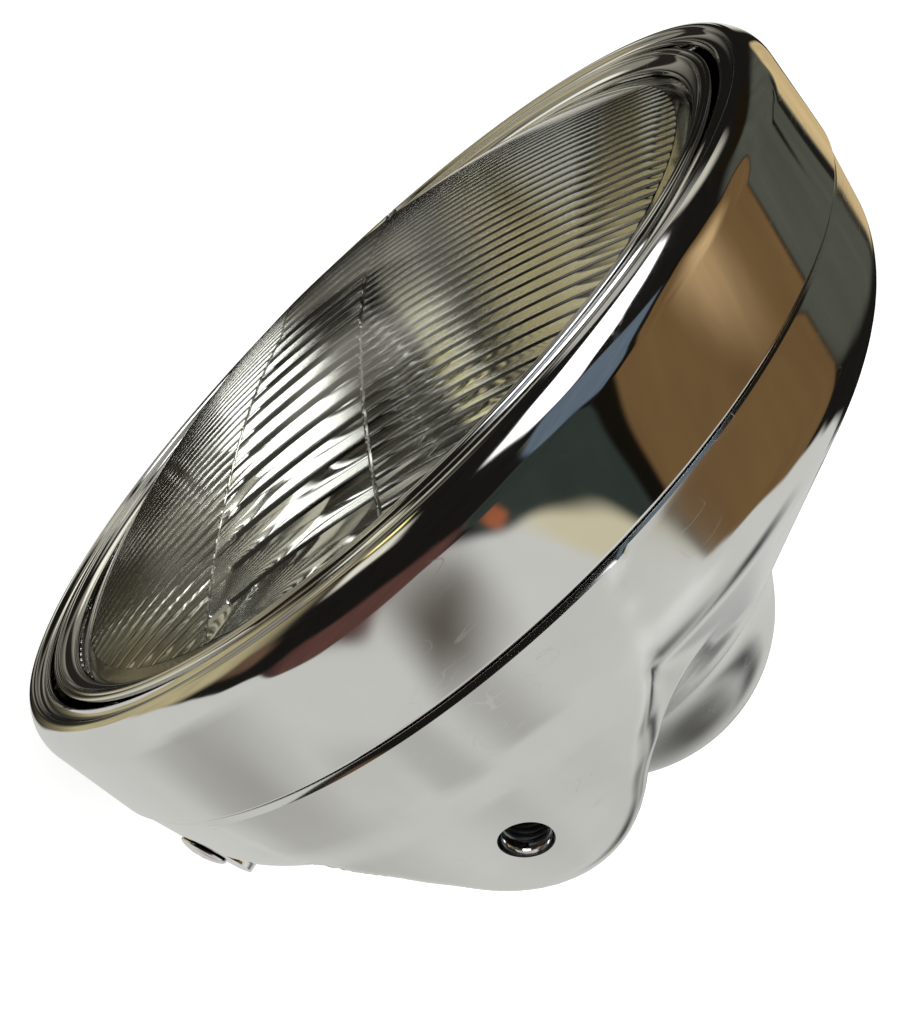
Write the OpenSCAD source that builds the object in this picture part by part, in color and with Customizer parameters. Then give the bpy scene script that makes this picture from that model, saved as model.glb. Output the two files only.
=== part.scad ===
// Motorcycle headlight of the seven-inch class: a cast bucket with a threaded lug each side,
// a spun rim, and a beam unit that swivels inside the rim on a vertical axis.
// Frame: -Y forward, +X the rider's left, +Z up. The origin lies midway between the side threads.
// Lengths along the lamp are given as "ahead", the distance forward of the side threads.

/* [Rim] */
// Outer radius of the rim's barrel
rim_r = 95; // [88:0.5:104]
// Length of the rim from the seam to its front bead
rim_depth = 23.2; // [22:0.1:27]
// Thickness of the rim's sheet
rim_sheet = 1.2; // [1:0.1:1.4]
// Width of the rim's face, from the barrel to the inner lip
rim_face = 7.7; // [7.4:0.1:9]
// Radius that turns the barrel into the face
rim_round = 7.5; // [7:0.1:8]

/* [Bucket] */
// Distance from the side threads forward to the seam
seam_ahead = 32; // [28:0.5:38]
// How far the bucket's band lies inside the rim's outer radius
bucket_step = 0.5; // [0.3:0.1:0.8]
// Wall of the casting
bucket_wall = 3; // [2.5:0.1:3.6]
// Length of the band from the seam back to the shoulder
band_len = 18.8; // [16:0.1:22]
// Taper of the band, in degrees
band_draft = 5.7; // [4:0.1:7]
// How deep the cone's straight line would cut into the nose's ball
nose_cut = 7.6; // [5:0.2:11]
// Radius of the shoulder between band and cone
shoulder_round = 16; // [12:1:20]
// Radius of the rounded nose
nose_r = 39; // [36:0.5:43]
// Distance from the side threads back to the nose's tip
nose_back = 67; // [60:0.5:75]
// Radius of the hollow between cone and nose
nose_blend = 55; // [45:1:70]
// Length of the bucket's front edge that the rim slides over
spigot_len = 3; // [2:0.5:4]

/* [Side lugs] */
// How far each lug's face lies inside the rim's outer radius
lug_drop = 5.4; // [4:0.2:7]
// Radius of the lug's rounded rear end
lug_r = 22.3; // [18:0.1:25]
// Rounding of the lug's outer edge
lug_edge = 4; // [2:0.5:5]
// Radius of the tapped hole, M8 before threading
thread_r = 3.4; // [2.5:0.1:4.5]
// Depth of the tapped hole
thread_depth = 14; // [10:0.5:18]

/* [Rim screws] */
// Angle of the two rim screws below the horizontal
screw_angle = 41; // [30:1:50]
// Distance of the rim screws behind the seam
screw_behind = 14; // [12:0.5:16]
// Radius of the rim screw's shank, M5
screw_r = 2.5; // [2:0.25:3]
// Radius of the rim screw's oval head
screw_head_r = 4.7; // [4.5:0.1:5.2]

/* [Beam unit] */
// Gap between the rim's lip and the inner ring
ring_gap = 1.3; // [1.1:0.1:2]
// Thickness of the inner ring's sheet
ring_sheet = 1.2; // [1:0.1:1.4]
// Width of the inner ring's face in front of the glass
ring_face = 5.2; // [5:0.1:6]
// Length of the inner ring's skirt behind its beads
skirt_len = 16.7; // [15:0.1:18]
// Radius of the domed glass
lens_sphere = 225; // [200:5:260]
// How far the glass stands ahead of the inner ring
lens_proud = 12.3; // [10:0.1:14]
// Thickness of the glass
lens_wall = 4; // [3:0.2:4.6]
// Focal length of the reflector
focal = 26; // [25:0.2:28]
// Thickness of the reflector's sheet
reflector_sheet = 1; // [0.8:0.1:1.4]
// Most that the beam unit swivels to each side, in degrees
swivel_limit = 2.5; // [1:0.5:3]

/* [Glass flutes] */
// Width of a flute above the upper divider and below the lower one
flute_w = 2.95; // [2.6:0.05:3.6]
// Depth of the grooves between flutes
flute_depth = 0.35; // [0.2:0.05:0.4]
// Height of the upper divider over the lamp's axis
divider_up = 15.5; // [12:0.5:20]
// Distance of the lower divider below the lamp's axis, at the middle
divider_down = 8; // [5:0.5:12]

/* [Bulb] */
// Radius of the bulb's locating flange
flange_r = 21.5; // [20:0.1:22]
// Radius of the bulb's glass
glass_r = 8.4; // [7:0.1:9]
// Distance from the locating flange forward to the dipped filament
filament_ahead = 29.5; // [28:0.1:31]
// Radius of the bulb's insulating base
base_r = 11; // [10:0.1:12]

/* [Wire inlet] */
// Radius of the grommet's bore
inlet_r = 5; // [4:0.25:6]
// Rubber between the grommet's bore and the hole, and the width of its lips past the hole
inlet_lip = 3; // [2.5:0.25:4]
// Distance of the wire inlet behind the shoulder
inlet_behind = 25.2; // [22:0.2:27]

/* [Hidden] */

// Steps of a full turn: every round face is exact whatever this number is
round_steps = 96;
ball_steps = 4 * round_steps;
arc_steps = 8;
fit_gap = 0.05;

// Rim
rim_front = seam_ahead + rim_depth;
rim_bore = rim_r - rim_sheet;
lip_r = rim_r - rim_face;
barrel_end = rim_front - 6.2;

// Bucket
bucket_r = rim_r - bucket_step;
seam_gap = 0.4;
spigot_r = rim_bore - 0.3;
spigot_bore = spigot_r - bucket_wall + 0.4;
spigot_front = seam_ahead + spigot_len;
band_front = seam_ahead - seam_gap;
shoulder_ahead = seam_ahead - band_len;
shoulder_r = bucket_r - (band_front - shoulder_ahead) * tan(band_draft);
nose_centre = nose_r - nose_back;

// Side lugs
lug_face = rim_r - lug_drop;
lug_lean = 0.16;
lug_centre = 6.3;
lug_flare = 0.0054;
lug_flare_from = 55;
lug_front = 15;
lug_spread = 0.45;
lug_steps = 48;
lug_floor = lug_face / 2;
thread_chamfer = 1;
thread_end = lug_face - thread_depth;
thread_boss_r = 8;
thread_floor = 3;

// Rim screws, their lands, tabs and nuts
screw_ahead = seam_ahead - screw_behind;
land_seat = 0.16;
land_r = bucket_r - (band_front - screw_ahead) * tan(band_draft) + land_seat;
land_w = 22;
land_back = 7;
land_proud = 0.06;
land_round = 5;
tab_out = -5;
tab_sheet = 1.4;
tab_in = tab_out - tab_sheet;
tab_w = 12;
tab_back = 3.5;
tab_leg_ahead = spigot_front + 0.6;
tab_foot_end = seam_ahead + 13;
nut_w = 8;
nut_h = 3.5;
screw_len = 11;
clear_gap = 0.25;

// Beam unit
ring_r = lip_r - ring_gap;
ring_front = rim_front - 0.5;
skirt_r = ring_r - ring_sheet;
skirt_back = ring_front - skirt_len;
lens_edge_r = ring_r - ring_face;
lens_apex = ring_front + lens_proud;
function dome(r, ball = lens_sphere, apex = lens_apex) = apex - ball + sqrt(ball * ball - r * r);
lens_rebate = 1.2;
gasket_h = 0.6;
seal_h = 0.6;
lens_flange_r = skirt_r - 0.6;
lens_flange_front = dome(lens_edge_r) - lens_rebate;
lens_flange_back = lens_flange_front - lens_wall;
lens_bore_r = lens_edge_r - 2;
reflector_front = lens_flange_back - seal_h;
mouth_r = lens_bore_r - 0.3;
vertex = reflector_front - mouth_r * mouth_r / 4 / focal;

// Flutes on the glass's inner face
flute_margin = 4.3;
flute_r = lens_edge_r - flute_margin;
flute_gap = 0.25;
flute_cuts = 3;
flute_pairs = floor((flute_r - 2) / flute_w);
divider_slope = 0.19;
divider_bevel = 0.2;

// Swivel and adjuster
pivot_ahead = seam_ahead + 8;
stud_r = 2;
bush_r = 3;
adjust_r = ring_r + 3.8;
adjust_shank_r = 2;
adjust_thread_gap = 0.45;
adjust_swing = adjust_r * tan(swivel_limit);
bracket_sheet = 1.6;
bracket_ahead = barrel_end - bracket_sheet - 0.1;
bracket_front = bracket_ahead + bracket_sheet;
bracket_foot = 1.4;
bracket_in = rim_bore - bracket_foot;
bracket_w = 9;
clip_h = 0.7;
adjust_head_r = 3;
adjust_head_h = 2.1;
nut_tab_ahead = seam_ahead + 0.5;
nut_tab_h = 2;
nut_block_h = 3.2;
nut_block_w = 5.8;
adjust_tail = nut_tab_ahead - adjust_swing - 0.6;
pocket_back = adjust_tail - 0.6;
pocket_r = adjust_r + nut_block_w / 2 + 0.5;
spring_wire_r = 0.3;
spring_r = 2.65;
spring_turns = 5;

// Bulb, its seat on the collar, and the reflector's neck, which is cut where the bowl clears the seat
bulb_plane = vertex + focal - filament_ahead;
seat_r = flange_r - 2.3;
neck_back = bulb_plane + 2.1;
neck_len = 3;
neck_r = max(seat_r + 0.4, 2 * sqrt(focal * max(0, neck_back + neck_len - vertex)));
collar_r = neck_r + 7.4;
collar_front = bulb_plane + 4.4;
staple_up = flange_r + 3.7;
staple_in = 1.2;
flange_h = 1.2;
flange_back = bulb_plane - flange_h;
sleeve_r = glass_r + 2;
sleeve_h = 9;
envelope_len = 44;
filament_r = 0.7;
base_len = 12.8;
blade_len = 12.5;

// Wire inlet
inlet_ahead = shoulder_ahead - inlet_behind;
inlet_hole_r = inlet_r + inlet_lip;
inlet_pad_r = inlet_hole_r + 4.5;
inlet_pad_out = 0.8;
inlet_pad_in = 0.9;

// Points of a round stretch in an outline, from angle t0 to t1
function arc(centre, r, t0, t1, n = arc_steps) =
    [for (i = [0:n]) centre + r * [cos(t0 + (t1 - t0) * i / n), sin(t0 + (t1 - t0) * i / n)]];

// The bucket's outline, moved inwards by w: band, shoulder, cone, hollow and nose.
// An outline's points are [radius, ahead].
function unit(v) = v / norm(v);
band_out = [cos(band_draft), -sin(band_draft)];
shoulder_corner = [shoulder_r, shoulder_ahead];
nose_hub = [0, nose_centre];
to_corner = shoulder_corner - nose_hub;
cone_angle = acos((nose_r - nose_cut) / norm(to_corner)) - atan2(to_corner[1], to_corner[0]);
cone_out = [cos(cone_angle), -sin(cone_angle)];
cone_up = [sin(cone_angle), cos(cone_angle)];
shoulder_hub = shoulder_corner - shoulder_round * (band_out + cone_out) / (1 + band_out * cone_out);
blend_off = nose_r - nose_cut + nose_blend;
blend_hub = nose_hub + blend_off * cone_out
    + sqrt(pow(nose_r + nose_blend, 2) - blend_off * blend_off) * cone_up;
nose_turn = atan2((blend_hub - nose_hub)[1], (blend_hub - nose_hub)[0]);
function bucket_side(w) = concat(
    [[bucket_r, band_front] - w * band_out],
    arc(shoulder_hub, shoulder_round - w, -band_draft, -cone_angle),
    arc(blend_hub, nose_blend + w, 180 - cone_angle, 180 + nose_turn),
    arc(nose_hub, nose_r - w, nose_turn, -90, 12));
// The spigot's bore runs straight back until it meets the band's inner face
bore_end = band_front - (bucket_r - bucket_wall / cos(band_draft) - spigot_bore) / tan(band_draft);
bucket_inside = [for (i = [1:len(bucket_side(0)) - 1]) bucket_side(bucket_wall)[i]];
side_table = [for (p = [for (i = [len(bucket_side(0)) - 1:-1:0]) bucket_side(0)[i]]) [p[1], p[0]]];
function bucket_at(ahead) = lookup(ahead, side_table);

// A solid turned about the lamp's axis from an outline of [radius, ahead]
module turned(outline) rotate([90, 0, 0]) rotate_extrude($fn = round_steps) polygon(outline);

// A round bar along the lamp's axis, between two distances ahead
module bar(r, from, to, x = 0, z = 0)
    translate([x, -from, z]) rotate([90, 0, 0]) cylinder(r = r, h = to - from, $fn = round_steps);

// A block between two distances ahead, centred on z = 0
module block(x0, x1, w, from, to) translate([x0, -to, -w / 2]) cube([x1 - x0, to - from, w]);

// A band of a tube about the lamp's axis
module hoop(r0, r1, from, to)
    turned([[r0, from], [r1, from], [r1, to], [r0, to]]);

// What is drawn for the left side, and its mirror image on the right
module both_sides() {
    children();
    mirror([1, 0, 0]) children();
}
module top_and_bottom() {
    children();
    mirror([0, 0, 1]) children();
}

// A frame at a rim screw: +X out of the land, -Y forward along the band's wall
module at_rim_screw() rotate([0, screw_angle, 0]) translate([land_r, -screw_ahead, 0])
    rotate([0, 0, band_draft]) children();

// An upright bar, and a bar along X between two places
module rod(r, h) cylinder(r = r, h = h, $fn = round_steps);
module peg(r, x0, x1) translate([x0, 0, 0]) rotate([0, 90, 0]) rod(r, x1 - x0);

// Lug: a tongue whose face runs on from the band and whose wall flares into the cone.
// Round the tongue, t is 0 at its rear tip. Every ring of points follows one contour of it.
function lug_reach(t) = min(lug_r + lug_flare * pow(max(0, abs(t) - lug_flare_from), 2),
                            lug_front / max(0.05, -cos(t)));
function lug_spot(t, reach) = [lug_centre - reach * cos(t), reach * sin(t)];
function face_x(s) = sqrt(pow(lug_face + lug_lean * s[0], 2) - s[1] * s[1]);
function body_x(s) = sqrt(pow(bucket_at(s[0]), 2) - s[1] * s[1]);
function lug_height(t) = let (s = lug_spot(t, lug_reach(t))) max(0.5, face_x(s) - body_x(s));
function on_lug(s, x) = [x, -s[0], s[1]];
function lug_top(t, share) = let (e = min(lug_edge, 0.6 * lug_height(t)),
                                  s = lug_spot(t, share * (lug_reach(t) - e))) on_lug(s, face_x(s));
function lug_round(t, turn) = let (e = min(lug_edge, 0.6 * lug_height(t)), reach = lug_reach(t),
                                   s = lug_spot(t, reach - e * (1 - sin(turn))))
    on_lug(s, face_x(lug_spot(t, reach)) - e * (1 - cos(turn)));
function lug_wall(t, u) = let (h = lug_height(t), reach = lug_reach(t), e = min(lug_edge, 0.6 * h),
                               foot = lug_spot(t, reach), toe = lug_spot(t, reach + lug_spread * h),
                               x0 = face_x(foot) - e, x1 = face_x(foot) - 0.9 * h,
                               x2 = body_x(toe) - 0.8,
                               out = 2 * u * (1 - u) * 0.08 * h + u * u * lug_spread * h)
    on_lug(lug_spot(t, reach + out), (1 - u) * (1 - u) * x0 + 2 * u * (1 - u) * x1 + u * u * x2);
function lug_inside(t) = on_lug(lug_spot(t, 0.6 * lug_reach(t)), lug_floor);
lug_rows = concat([for (share = [0.35, 0.7, 1]) [0, share]], [for (turn = [30, 60, 90]) [1, turn]],
                  [for (i = [1:6]) [2, i / 6]], [[3, 0]]);
function lug_row_point(row, t) = row[0] == 0 ? lug_top(t, row[1]) : row[0] == 1 ? lug_round(t, row[1])
    : row[0] == 2 ? lug_wall(t, row[1]) : lug_inside(t);
function lug_index(row, i) = 1 + row * lug_steps + i % lug_steps;
module lug() {
    last = len(lug_rows) - 1;
    around = [0:lug_steps - 1];
    middle = [lug_centre, 0];
    points = concat([on_lug(middle, face_x(middle))],
                    [for (row = lug_rows, i = around) lug_row_point(row, -180 + 360 * i / lug_steps)],
                    [on_lug(middle, lug_floor)]);
    polyhedron(points, concat(
        [for (i = around) [0, lug_index(0, i + 1), lug_index(0, i)]],
        [for (row = [0:last - 1], i = around)
            [lug_index(row, i), lug_index(row + 1, i + 1), lug_index(row + 1, i)]],
        [for (row = [0:last - 1], i = around)
            [lug_index(row, i), lug_index(row, i + 1), lug_index(row + 1, i + 1)]],
        [for (i = around) [len(points) - 1, lug_index(last, i), lug_index(last, i + 1)]]));
}

// Land under a rim screw's head: the band runs on over the shoulder and ends in a step.
// Its rear corners are rounded.
land_front = screw_ahead + screw_behind - 1.2;
land_end = screw_ahead - land_back;
module land_outline() {
    translate([-land_w / 2, land_end + land_round]) square([land_w, land_front - land_end - land_round]);
    translate([land_round - land_w / 2, land_end]) square([land_w - 2 * land_round, land_round + 1]);
    for (q = [-1, 1]) translate([q * (land_w / 2 - land_round), land_end + land_round])
        circle(land_round, $fn = round_steps);
}
function land_at(ahead) = bucket_r + land_proud - (band_front - ahead) * tan(band_draft);
module screw_land() intersection() {
    rotate([0, screw_angle, 0]) translate([land_r - 12, 0, 0]) rotate([-90, 0, 90])
        linear_extrude(16) land_outline();
    turned([[land_r - 11, land_end - 2], [land_at(land_end - 2), land_end - 2],
            [land_at(land_front + 0.5), land_front + 0.5], [land_r - 11, land_front + 0.5]]);
}

// Frame of the wire inlet: +Z out of the cone at its lowest line
module at_inlet() translate([0, -inlet_ahead, -bucket_at(inlet_ahead)]) rotate([cone_angle - 180, 0, 0])
    children();

module bucket() color("gainsboro") difference() {
    union() {
        difference() {
            union() {
                turned(concat([[0, band_front]], bucket_side(0)));
                hoop(spigot_r - bucket_wall, spigot_r, band_front - 4, spigot_front);
                both_sides() lug();
                both_sides() screw_land();
            }
            turned(concat([[0, spigot_front + 1], [spigot_bore, spigot_front + 1],
                           [spigot_bore, bore_end]], bucket_inside));
        }
        both_sides() peg(thread_boss_r, thread_end - thread_floor, thread_end + 4);
        both_sides() at_rim_screw() peg(6.5, tab_out, -2);
        at_inlet() translate([0, 0, -bucket_wall - inlet_pad_in])
            rod(inlet_pad_r, bucket_wall + inlet_pad_in + inlet_pad_out);
    }
    both_sides() peg(thread_r, thread_end, lug_face + 5);
    both_sides() translate([lug_face - thread_chamfer, 0, 0]) rotate([0, 90, 0])
        cylinder(h = 2 * thread_chamfer, r1 = thread_r, r2 = thread_r + 2 * thread_chamfer,
                 $fn = round_steps);
    both_sides() at_rim_screw() {
        peg(screw_r + clear_gap, -12, 2);
        translate([-2.2, 0, 0]) rotate([0, 90, 0])
            cylinder(r1 = screw_r + clear_gap, r2 = screw_head_r + 0.1, h = 2.2, $fn = round_steps);
        peg(screw_head_r + 0.1, 0, 6);
    }
    at_inlet() translate([0, 0, -bucket_wall - 4]) rod(inlet_hole_r, bucket_wall + 8);
    // Pocket that clears the adjuster on the rider's right, open through the spigot
    intersection() {
        block(-rim_r - 1, -ring_r, 13, pocket_back, spigot_front + 1);
        turned([[skirt_r, pocket_back], [pocket_r, pocket_back], [pocket_r, band_front + 0.2],
                [rim_r, band_front + 0.2], [rim_r, spigot_front + 2], [skirt_r, spigot_front + 2]]);
    }
}

module wire_grommet() {
    low = -bucket_wall - inlet_pad_in;
    edge = inlet_hole_r + inlet_lip;
    color("dimgray") at_inlet() rotate_extrude($fn = round_steps) polygon([
        [inlet_r, low - 2.2], [edge - 1, low - 2.2], [edge, low - 1.4], [edge, low],
        [inlet_hole_r, low], [inlet_hole_r, inlet_pad_out], [edge, inlet_pad_out],
        [edge, inlet_pad_out + 1.2], [edge - 1.4, inlet_pad_out + 2.2], [inlet_r, inlet_pad_out + 2.2]]);
}

// Rim: barrel, front bead, shallow cove and a rolled inner lip
module outer_rim() color("silver") difference() {
    turned(concat(
        [[rim_r - 0.4, seam_ahead], [rim_r, seam_ahead + 0.5]],
        arc([rim_r - rim_round, barrel_end], rim_round, 0, 52),
        arc([rim_r - 3.8, rim_front - 1.05], 1.05, 50, 150),
        arc([lip_r + 1.75, rim_front + 0.15], 1.55, -25, -145),
        arc([lip_r + 0.6, rim_front - 1.3], 0.6, 100, 180, 4),
        [[lip_r, rim_front - 2.7], [lip_r + 1.2, rim_front - 2.7], [lip_r + 2.3, rim_front - 2.5],
         [lip_r + 3.3, rim_front - 1.7]],
        arc([rim_r - rim_round, barrel_end], rim_round - rim_sheet, 50, 0),
        [[rim_bore, seam_ahead]]));
    // Notch through which a driver reaches the adjuster
    bar(adjust_shank_r, barrel_end, rim_front + 1, -adjust_r);
    block(-adjust_r, 2 - lip_r, 2 * adjust_shank_r, barrel_end, rim_front + 1);
}

// Tab on the rim that reaches back inside the bucket to a rim screw
module rim_tab() difference() {
    union() {
        at_rim_screw() block(tab_in, tab_out, tab_w, -tab_back, tab_leg_ahead - screw_ahead + 0.8);
        rotate([0, screw_angle, 0])
            block(land_r + tab_in + 1.6, rim_bore - 0.7, tab_w, tab_leg_ahead, tab_leg_ahead + tab_sheet);
        intersection() {
            rotate([0, screw_angle, 0]) block(ring_r, rim_r, tab_w, tab_leg_ahead, tab_foot_end);
            hoop(rim_bore - tab_sheet, rim_bore, tab_leg_ahead, tab_foot_end);
        }
    }
    at_rim_screw() peg(screw_r + clear_gap, -12, 0);
}
module rim_tab_left() color("darkgray") rim_tab();
module rim_tab_right() color("darkgray") mirror([1, 0, 0]) rim_tab();

module rim_tab_nuts() color("gray") both_sides() at_rim_screw() difference() {
    block(tab_in - nut_h, tab_in, nut_w, -nut_w / 2, nut_w / 2);
    peg(screw_r, -12, 0);
}

module rim_screws() color("whitesmoke") both_sides() at_rim_screw() difference() {
    union() {
        peg(screw_r - fit_gap, -screw_len, -2);
        translate([-2.2, 0, 0]) rotate([0, 90, 0]) rotate_extrude($fn = round_steps)
            polygon(concat([[0, 0], [screw_r - fit_gap, 0], [screw_head_r, 2.1]],
                           [for (i = [1:5]) [screw_head_r * cos(18 * i), 2.2 + 1.3 * sin(18 * i)]]));
    }
    for (turn = [0, 90]) rotate([turn, 0, 0]) translate([-0.6, -0.5, -2.4]) cube([3, 1, 4.8]);
}

// Bracket and stud of the vertical swivel, one pair above and one below
module pivot_bracket() difference() {
    intersection() {
        translate([-8, -pivot_ahead - 4.5, skirt_r]) cube([16, 9, rim_r - skirt_r]);
        hoop(bracket_in, rim_bore, pivot_ahead - 4, pivot_ahead + 4);
    }
    translate([0, -pivot_ahead, skirt_r]) rod(stud_r + 0.4, rim_r - skirt_r);
}
module pivot_bracket_top() color("darkgray") pivot_bracket();
module pivot_bracket_bottom() color("darkgray") mirror([0, 0, 1]) pivot_bracket();

module pivot_studs() color("lightgray") top_and_bottom() translate([0, -pivot_ahead, 0]) {
    translate([0, 0, skirt_r - 2.5]) rod(stud_r, bracket_in - skirt_r + 2.5);
    translate([0, 0, bracket_in - 2]) rod(stud_r + 1.5, 1.9);
    translate([0, 0, bracket_in - 0.5]) rod(stud_r + 0.35, bracket_foot + 0.4);
}

module pivot_bushes() color("ivory") top_and_bottom() translate([0, -pivot_ahead, 0]) difference() {
    union() {
        translate([0, 0, skirt_r - 0.8]) rod(bush_r, ring_sheet + 1.6);
        translate([0, 0, ring_r + fit_gap]) rod(bush_r + 1.4, 0.8);
    }
    translate([0, 0, skirt_r - 2]) rod(stud_r + fit_gap, 8);
}

// Adjuster: a captive screw in a bracket on the rim, driving a nut on the inner ring
module adjuster_bracket() color("darkgray") difference() {
    union() {
        intersection() {
            block(-rim_bore - 1, -ring_r - 0.8, bracket_w, bracket_ahead, bracket_front);
            bar(rim_bore, bracket_ahead - 1, bracket_front + 1);
        }
        // Two feet welded to the barrel, one each side of the screw
        intersection() {
            block(-rim_r, -ring_r, bracket_w + 10, bracket_ahead - 6, bracket_front);
            hoop(bracket_in, rim_bore, bracket_ahead - 6, bracket_front);
        }
    }
    block(-rim_r, -ring_r, bracket_w - 0.6, bracket_ahead - 7, bracket_ahead);
    bar(adjust_shank_r + 0.08, bracket_ahead - 1, bracket_front + 1, -adjust_r);
}

module adjuster_screw() color("lightgray") difference() {
    union() {
        bar(adjust_shank_r, adjust_tail, bracket_front + 0.3, -adjust_r);
        bar(adjust_head_r, bracket_front + 0.2, bracket_front + 0.2 + adjust_head_h, -adjust_r);
    }
    for (size = [[0.9, 4], [4, 0.9]])
        translate([-adjust_r - size[0] / 2, -bracket_front - adjust_head_h - 1, -size[1] / 2])
            cube([size[0], 2.2, size[1]]);
}

module adjuster_clip() color("gray") difference() {
    bar(adjust_shank_r + 1.3, bracket_ahead - 0.2 - clip_h, bracket_ahead - 0.2, -adjust_r);
    bar(adjust_shank_r, bracket_ahead - 2, bracket_ahead, -adjust_r);
    block(-adjust_r, -adjust_r + 5, 2.4, bracket_ahead - 2, bracket_ahead);
}

// Coil spring round the screw, one unbroken tube with its ends laid flat
spring_from = nut_tab_ahead + nut_tab_h + nut_block_h + spring_wire_r + fit_gap;
spring_to = bracket_ahead - 0.2 - clip_h - spring_wire_r - fit_gap;
function spring_rise(u) = u < 0.12 ? 0.02 * u / 0.12 : u > 0.88 ? 0.98 + 0.02 * (u - 0.88) / 0.12
    : 0.02 + 0.96 * (u - 0.12) / 0.76;
spring_sides = 6;
spring_steps = spring_turns * 14;
function spring_point(i, k) =
    let (u = i / spring_steps, turn = 360 * spring_turns * u,
         r = spring_r + spring_wire_r * cos(360 * k / spring_sides),
         ahead = spring_from + (spring_to - spring_from) * spring_rise(u)
                 + spring_wire_r * sin(360 * k / spring_sides))
    [-adjust_r + r * cos(turn), -ahead, r * sin(turn)];
function spring_index(i, k) = i * spring_sides + k % spring_sides;
module adjuster_spring() {
    along = [0:spring_steps - 1];
    around = [0:spring_sides - 1];
    points = [for (i = [0:spring_steps], k = around) spring_point(i, k)];
    color("slategray") polyhedron(points, concat(
        [[for (k = [spring_sides - 1:-1:0]) k]],
        [[for (k = around) spring_index(spring_steps, k)]],
        [for (i = along, k = around)
            [spring_index(i, k), spring_index(i, k + 1), spring_index(i + 1, k + 1)]],
        [for (i = along, k = around)
            [spring_index(i, k), spring_index(i + 1, k + 1), spring_index(i + 1, k)]]));
}

module adjuster_nut() color("ivory") difference() {
    block(-adjust_r - nut_block_w / 2, -adjust_r + nut_block_w / 2, nut_block_w,
          nut_tab_ahead + nut_tab_h, nut_tab_ahead + nut_tab_h + nut_block_h);
    bar(adjust_shank_r + adjust_thread_gap, nut_tab_ahead, bracket_ahead, -adjust_r);
}

// Inner ring: skirt, two fine beads and a face that slopes down to the glass
module unit_ring() color("silver") difference() {
    union() {
        turned(concat(
            [[ring_r, skirt_back], [ring_r, ring_front - 1]],
            arc([ring_r - 0.7, ring_front - 0.55], 0.55, 20, 150, 5),
            arc([ring_r - 1.7, ring_front - 0.6], 0.5, 40, 160, 5),
            [[ring_r - 2.8, ring_front - 1], [lens_edge_r + 1.1, ring_front - 1.7]],
            arc([lens_edge_r + 0.7, dome(lens_edge_r) + 0.5], 0.5, 80, 190, 5),
            [[lens_edge_r + 0.2, lens_flange_front + gasket_h],
             [lens_edge_r + 1.6, lens_flange_front + gasket_h],
             [skirt_r - 0.8, ring_front - 1.9], [skirt_r, ring_front - 1.9], [skirt_r, skirt_back]]));
        // Ears of the skirt that carry the bushes
        top_and_bottom() intersection() {
            translate([-9, -skirt_back - 1, 0]) cube([18, skirt_back + 1 - pivot_ahead + 6, rim_r]);
            hoop(skirt_r, ring_r, pivot_ahead - 6, skirt_back + 1);
        }
        // Ear and plate that carry the adjuster's nut
        intersection() {
            block(-rim_r, -lens_edge_r, 24, nut_tab_ahead, skirt_back + 1);
            hoop(skirt_r, ring_r, nut_tab_ahead, skirt_back + 1);
        }
        block(-adjust_r - nut_block_w / 2, 0.3 - skirt_r, 10, nut_tab_ahead, nut_tab_ahead + nut_tab_h);
    }
    top_and_bottom() translate([0, -pivot_ahead, lens_edge_r]) rod(bush_r, rim_r - lens_edge_r);
    bar(adjust_shank_r + 0.8, nut_tab_ahead - 1, nut_tab_ahead + nut_tab_h + 1, -adjust_r);
    at_clip_screws() peg(clip_screw_r, lens_edge_r, rim_r);
}

// Fluted part of the glass's inner face, as the body that is cut from the glass. The flutes run
// up and down, and those between the two dividers are twice as wide.
function lens_inside(r) = dome(r, lens_sphere - lens_wall, lens_apex - lens_wall);
function groove(x, w) = let (u = x / w - floor(x / w)) flute_depth * pow(2 * u - 1, 2);
function flute_low(x, h) = -min(divider_down + divider_slope * abs(x), h - 2);
function flute_high(h) = min(divider_up, h - 2);
function flute_rows(x) =
    let (h = sqrt(flute_r * flute_r - x * x), low = flute_low(x, h), high = flute_high(h))
    concat([for (k = [0:4]) [-h + (low - divider_bevel + h) * k / 4, flute_w]],
           [for (k = [0:3]) [low + divider_bevel + (high - low - 2 * divider_bevel) * k / 3, 2 * flute_w]],
           [for (k = [0:4]) [high + divider_bevel + (h - high - divider_bevel) * k / 4, flute_w]]);
function flute_points(x) = [for (row = flute_rows(x))
    [x, -lens_inside(norm([x, row[0]])) - flute_gap - groove(x, row[1]), row[0]]];
module flute_void() {
    last = 2 * flute_pairs * flute_cuts;
    top = len(flute_rows(0)) - 1;
    columns = [0:last - 1];
    rows = [0:top - 1];
    points = concat([for (i = [0:last]) each flute_points((i / flute_cuts - flute_pairs) * flute_w)],
                    [[0, -lens_flange_back, 0]]);
    function at(i, j) = i * (top + 1) + j;
    hub = len(points) - 1;
    polyhedron(points, concat(
        [for (i = columns, j = rows) [at(i, j), at(i, j + 1), at(i + 1, j + 1)]],
        [for (i = columns, j = rows) [at(i, j), at(i + 1, j + 1), at(i + 1, j)]],
        [for (i = columns) [hub, at(i, 0), at(i + 1, 0)]],
        [for (i = columns) [hub, at(i + 1, top), at(i, top)]],
        [for (j = rows) [hub, at(0, j + 1), at(0, j)]],
        [for (j = rows) [hub, at(last, j), at(last, j + 1)]]));
}

// Glass: the cap of a ball, with a rebated flange that the ring and the reflector hold
module lens() color("lightsteelblue", 0.6) difference() {
    union() {
        intersection() {
            translate([0, lens_sphere - lens_apex, 0]) sphere(lens_sphere, $fn = ball_steps);
            bar(lens_edge_r, lens_flange_back, lens_apex + 1);
        }
        bar(lens_flange_r, lens_flange_back, lens_flange_front);
    }
    intersection() {
        translate([0, lens_sphere - lens_apex, 0]) sphere(lens_sphere - lens_wall, $fn = ball_steps);
        bar(lens_bore_r, lens_flange_back - 1, lens_apex);
    }
    flute_void();
}

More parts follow.
